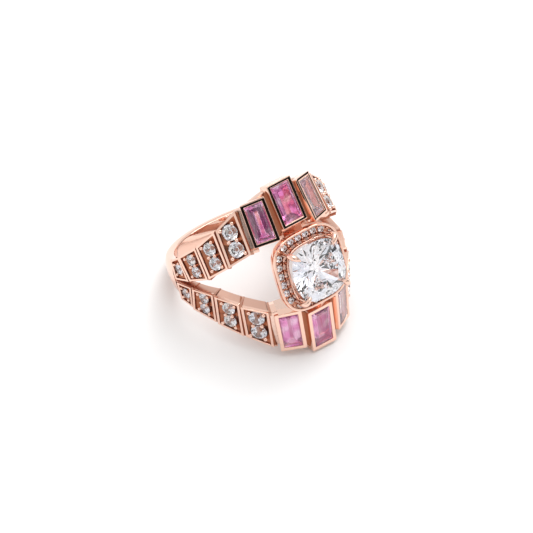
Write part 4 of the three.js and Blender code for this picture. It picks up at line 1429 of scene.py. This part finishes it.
def lamp(name, direction, distance, size, radiance):
    """Square soft lamp aimed at the ring. Power in watts is radiance times pi times area."""
    data = bpy.data.lights.new(name, "AREA")
    data.shape = "SQUARE"
    data.size = size
    data.energy = radiance * math.pi * size ** 2
    direction = np.asarray(direction, dtype=float) / np.linalg.norm(direction)
    piece = bpy.data.objects.new(name, data)
    piece.location = direction * distance
    piece.rotation_euler = Vector(direction).to_track_quat("Z", "Y").to_euler()
    bpy.context.collection.objects.link(piece)


def toward(azimuth, elevation):
    """Unit vector at an azimuth from +X towards +Y and an elevation, both in degrees."""
    a, e = math.radians(azimuth), math.radians(elevation)
    return np.array([math.cos(a) * math.cos(e), math.sin(a) * math.cos(e), math.sin(e)])


world = bpy.data.worlds.new("studio")
world.use_nodes = True
background = world.node_tree.nodes["Background"].inputs
background["Color"].default_value = (1, 1, 1, 1)
background["Strength"].default_value = WORLD_STRENGTH
bpy.context.scene.world = world

lamp("overhead", toward(90, 80), distance=0.8, size=0.5, radiance=2.5)
lamp("key", toward(110, 50), distance=0.9, size=0.4, radiance=4.0)


def dark_card(name, azimuth, elevation, distance, width, height):
    """Black card that faces the ring from a direction."""
    way = toward(azimuth, elevation)
    panel(name, distance * way, -way, width, height, black_card)


dark_card("dark_card_front", -38, 27, 0.5, 0.28, 0.17)
dark_card("dark_card_corner", 29, 26, 0.5, 0.20, 0.12)
dark_card("dark_card_camera", -37.75, 45, 0.82, 0.18, 0.18)
dark_card("dark_card_right", 80, 12, 0.3, 0.20, 0.14)

# %% [markdown]
# Light crosses many facets inside a cut stone, so it is allowed many bounces before it is dropped.

# %% Light paths
bpy.context.scene.view_settings.view_transform = "Standard"
bpy.context.scene.cycles.max_bounces = 24
bpy.context.scene.cycles.glossy_bounces = 8
bpy.context.scene.cycles.transmission_bounces = 20

# %% [markdown]
# ## Camera
# A long lens looks down at the ring from the front right. Its place is a direction and a distance,
# and its aim is a shift to the right and up from the middle of the ring, all in millimetres.

# %% Camera
CAMERA_AZIMUTH = 52.25
CAMERA_ELEVATION = 44.93
CAMERA_ROLL = -0.9
CAMERA_DISTANCE = 770
AIM_RIGHT = 1.673
AIM_UP = -2.321
SENSOR_WIDTH = 36
LENS = 459.5
CLIP = (0.05, 20)

a, e, r = (math.radians(angle) for angle in (CAMERA_AZIMUTH, CAMERA_ELEVATION, CAMERA_ROLL))
back = np.array([math.sin(a) * math.cos(e), -math.cos(a) * math.cos(e), math.sin(e)])
level_right = np.array([math.cos(a), math.sin(a), 0])
level_up = np.cross(back, level_right)
right = math.cos(r) * level_right - math.sin(r) * level_up
up = math.cos(r) * level_up + math.sin(r) * level_right
target = ring_centre + AIM_RIGHT * right + AIM_UP * up
data = bpy.data.cameras.new("camera")
data.sensor_width = SENSOR_WIDTH
data.lens = LENS
data.clip_start, data.clip_end = CLIP
camera = bpy.data.objects.new("camera", data)
axes = np.stack([right, up, back], axis=1)
place = (target + CAMERA_DISTANCE * back) * MM
camera.matrix_world = Matrix([[*row, value] for row, value in zip(axes.tolist(), place.tolist())]
                             + [[0, 0, 0, 1]])
bpy.context.collection.objects.link(camera)
bpy.context.scene.camera = camera
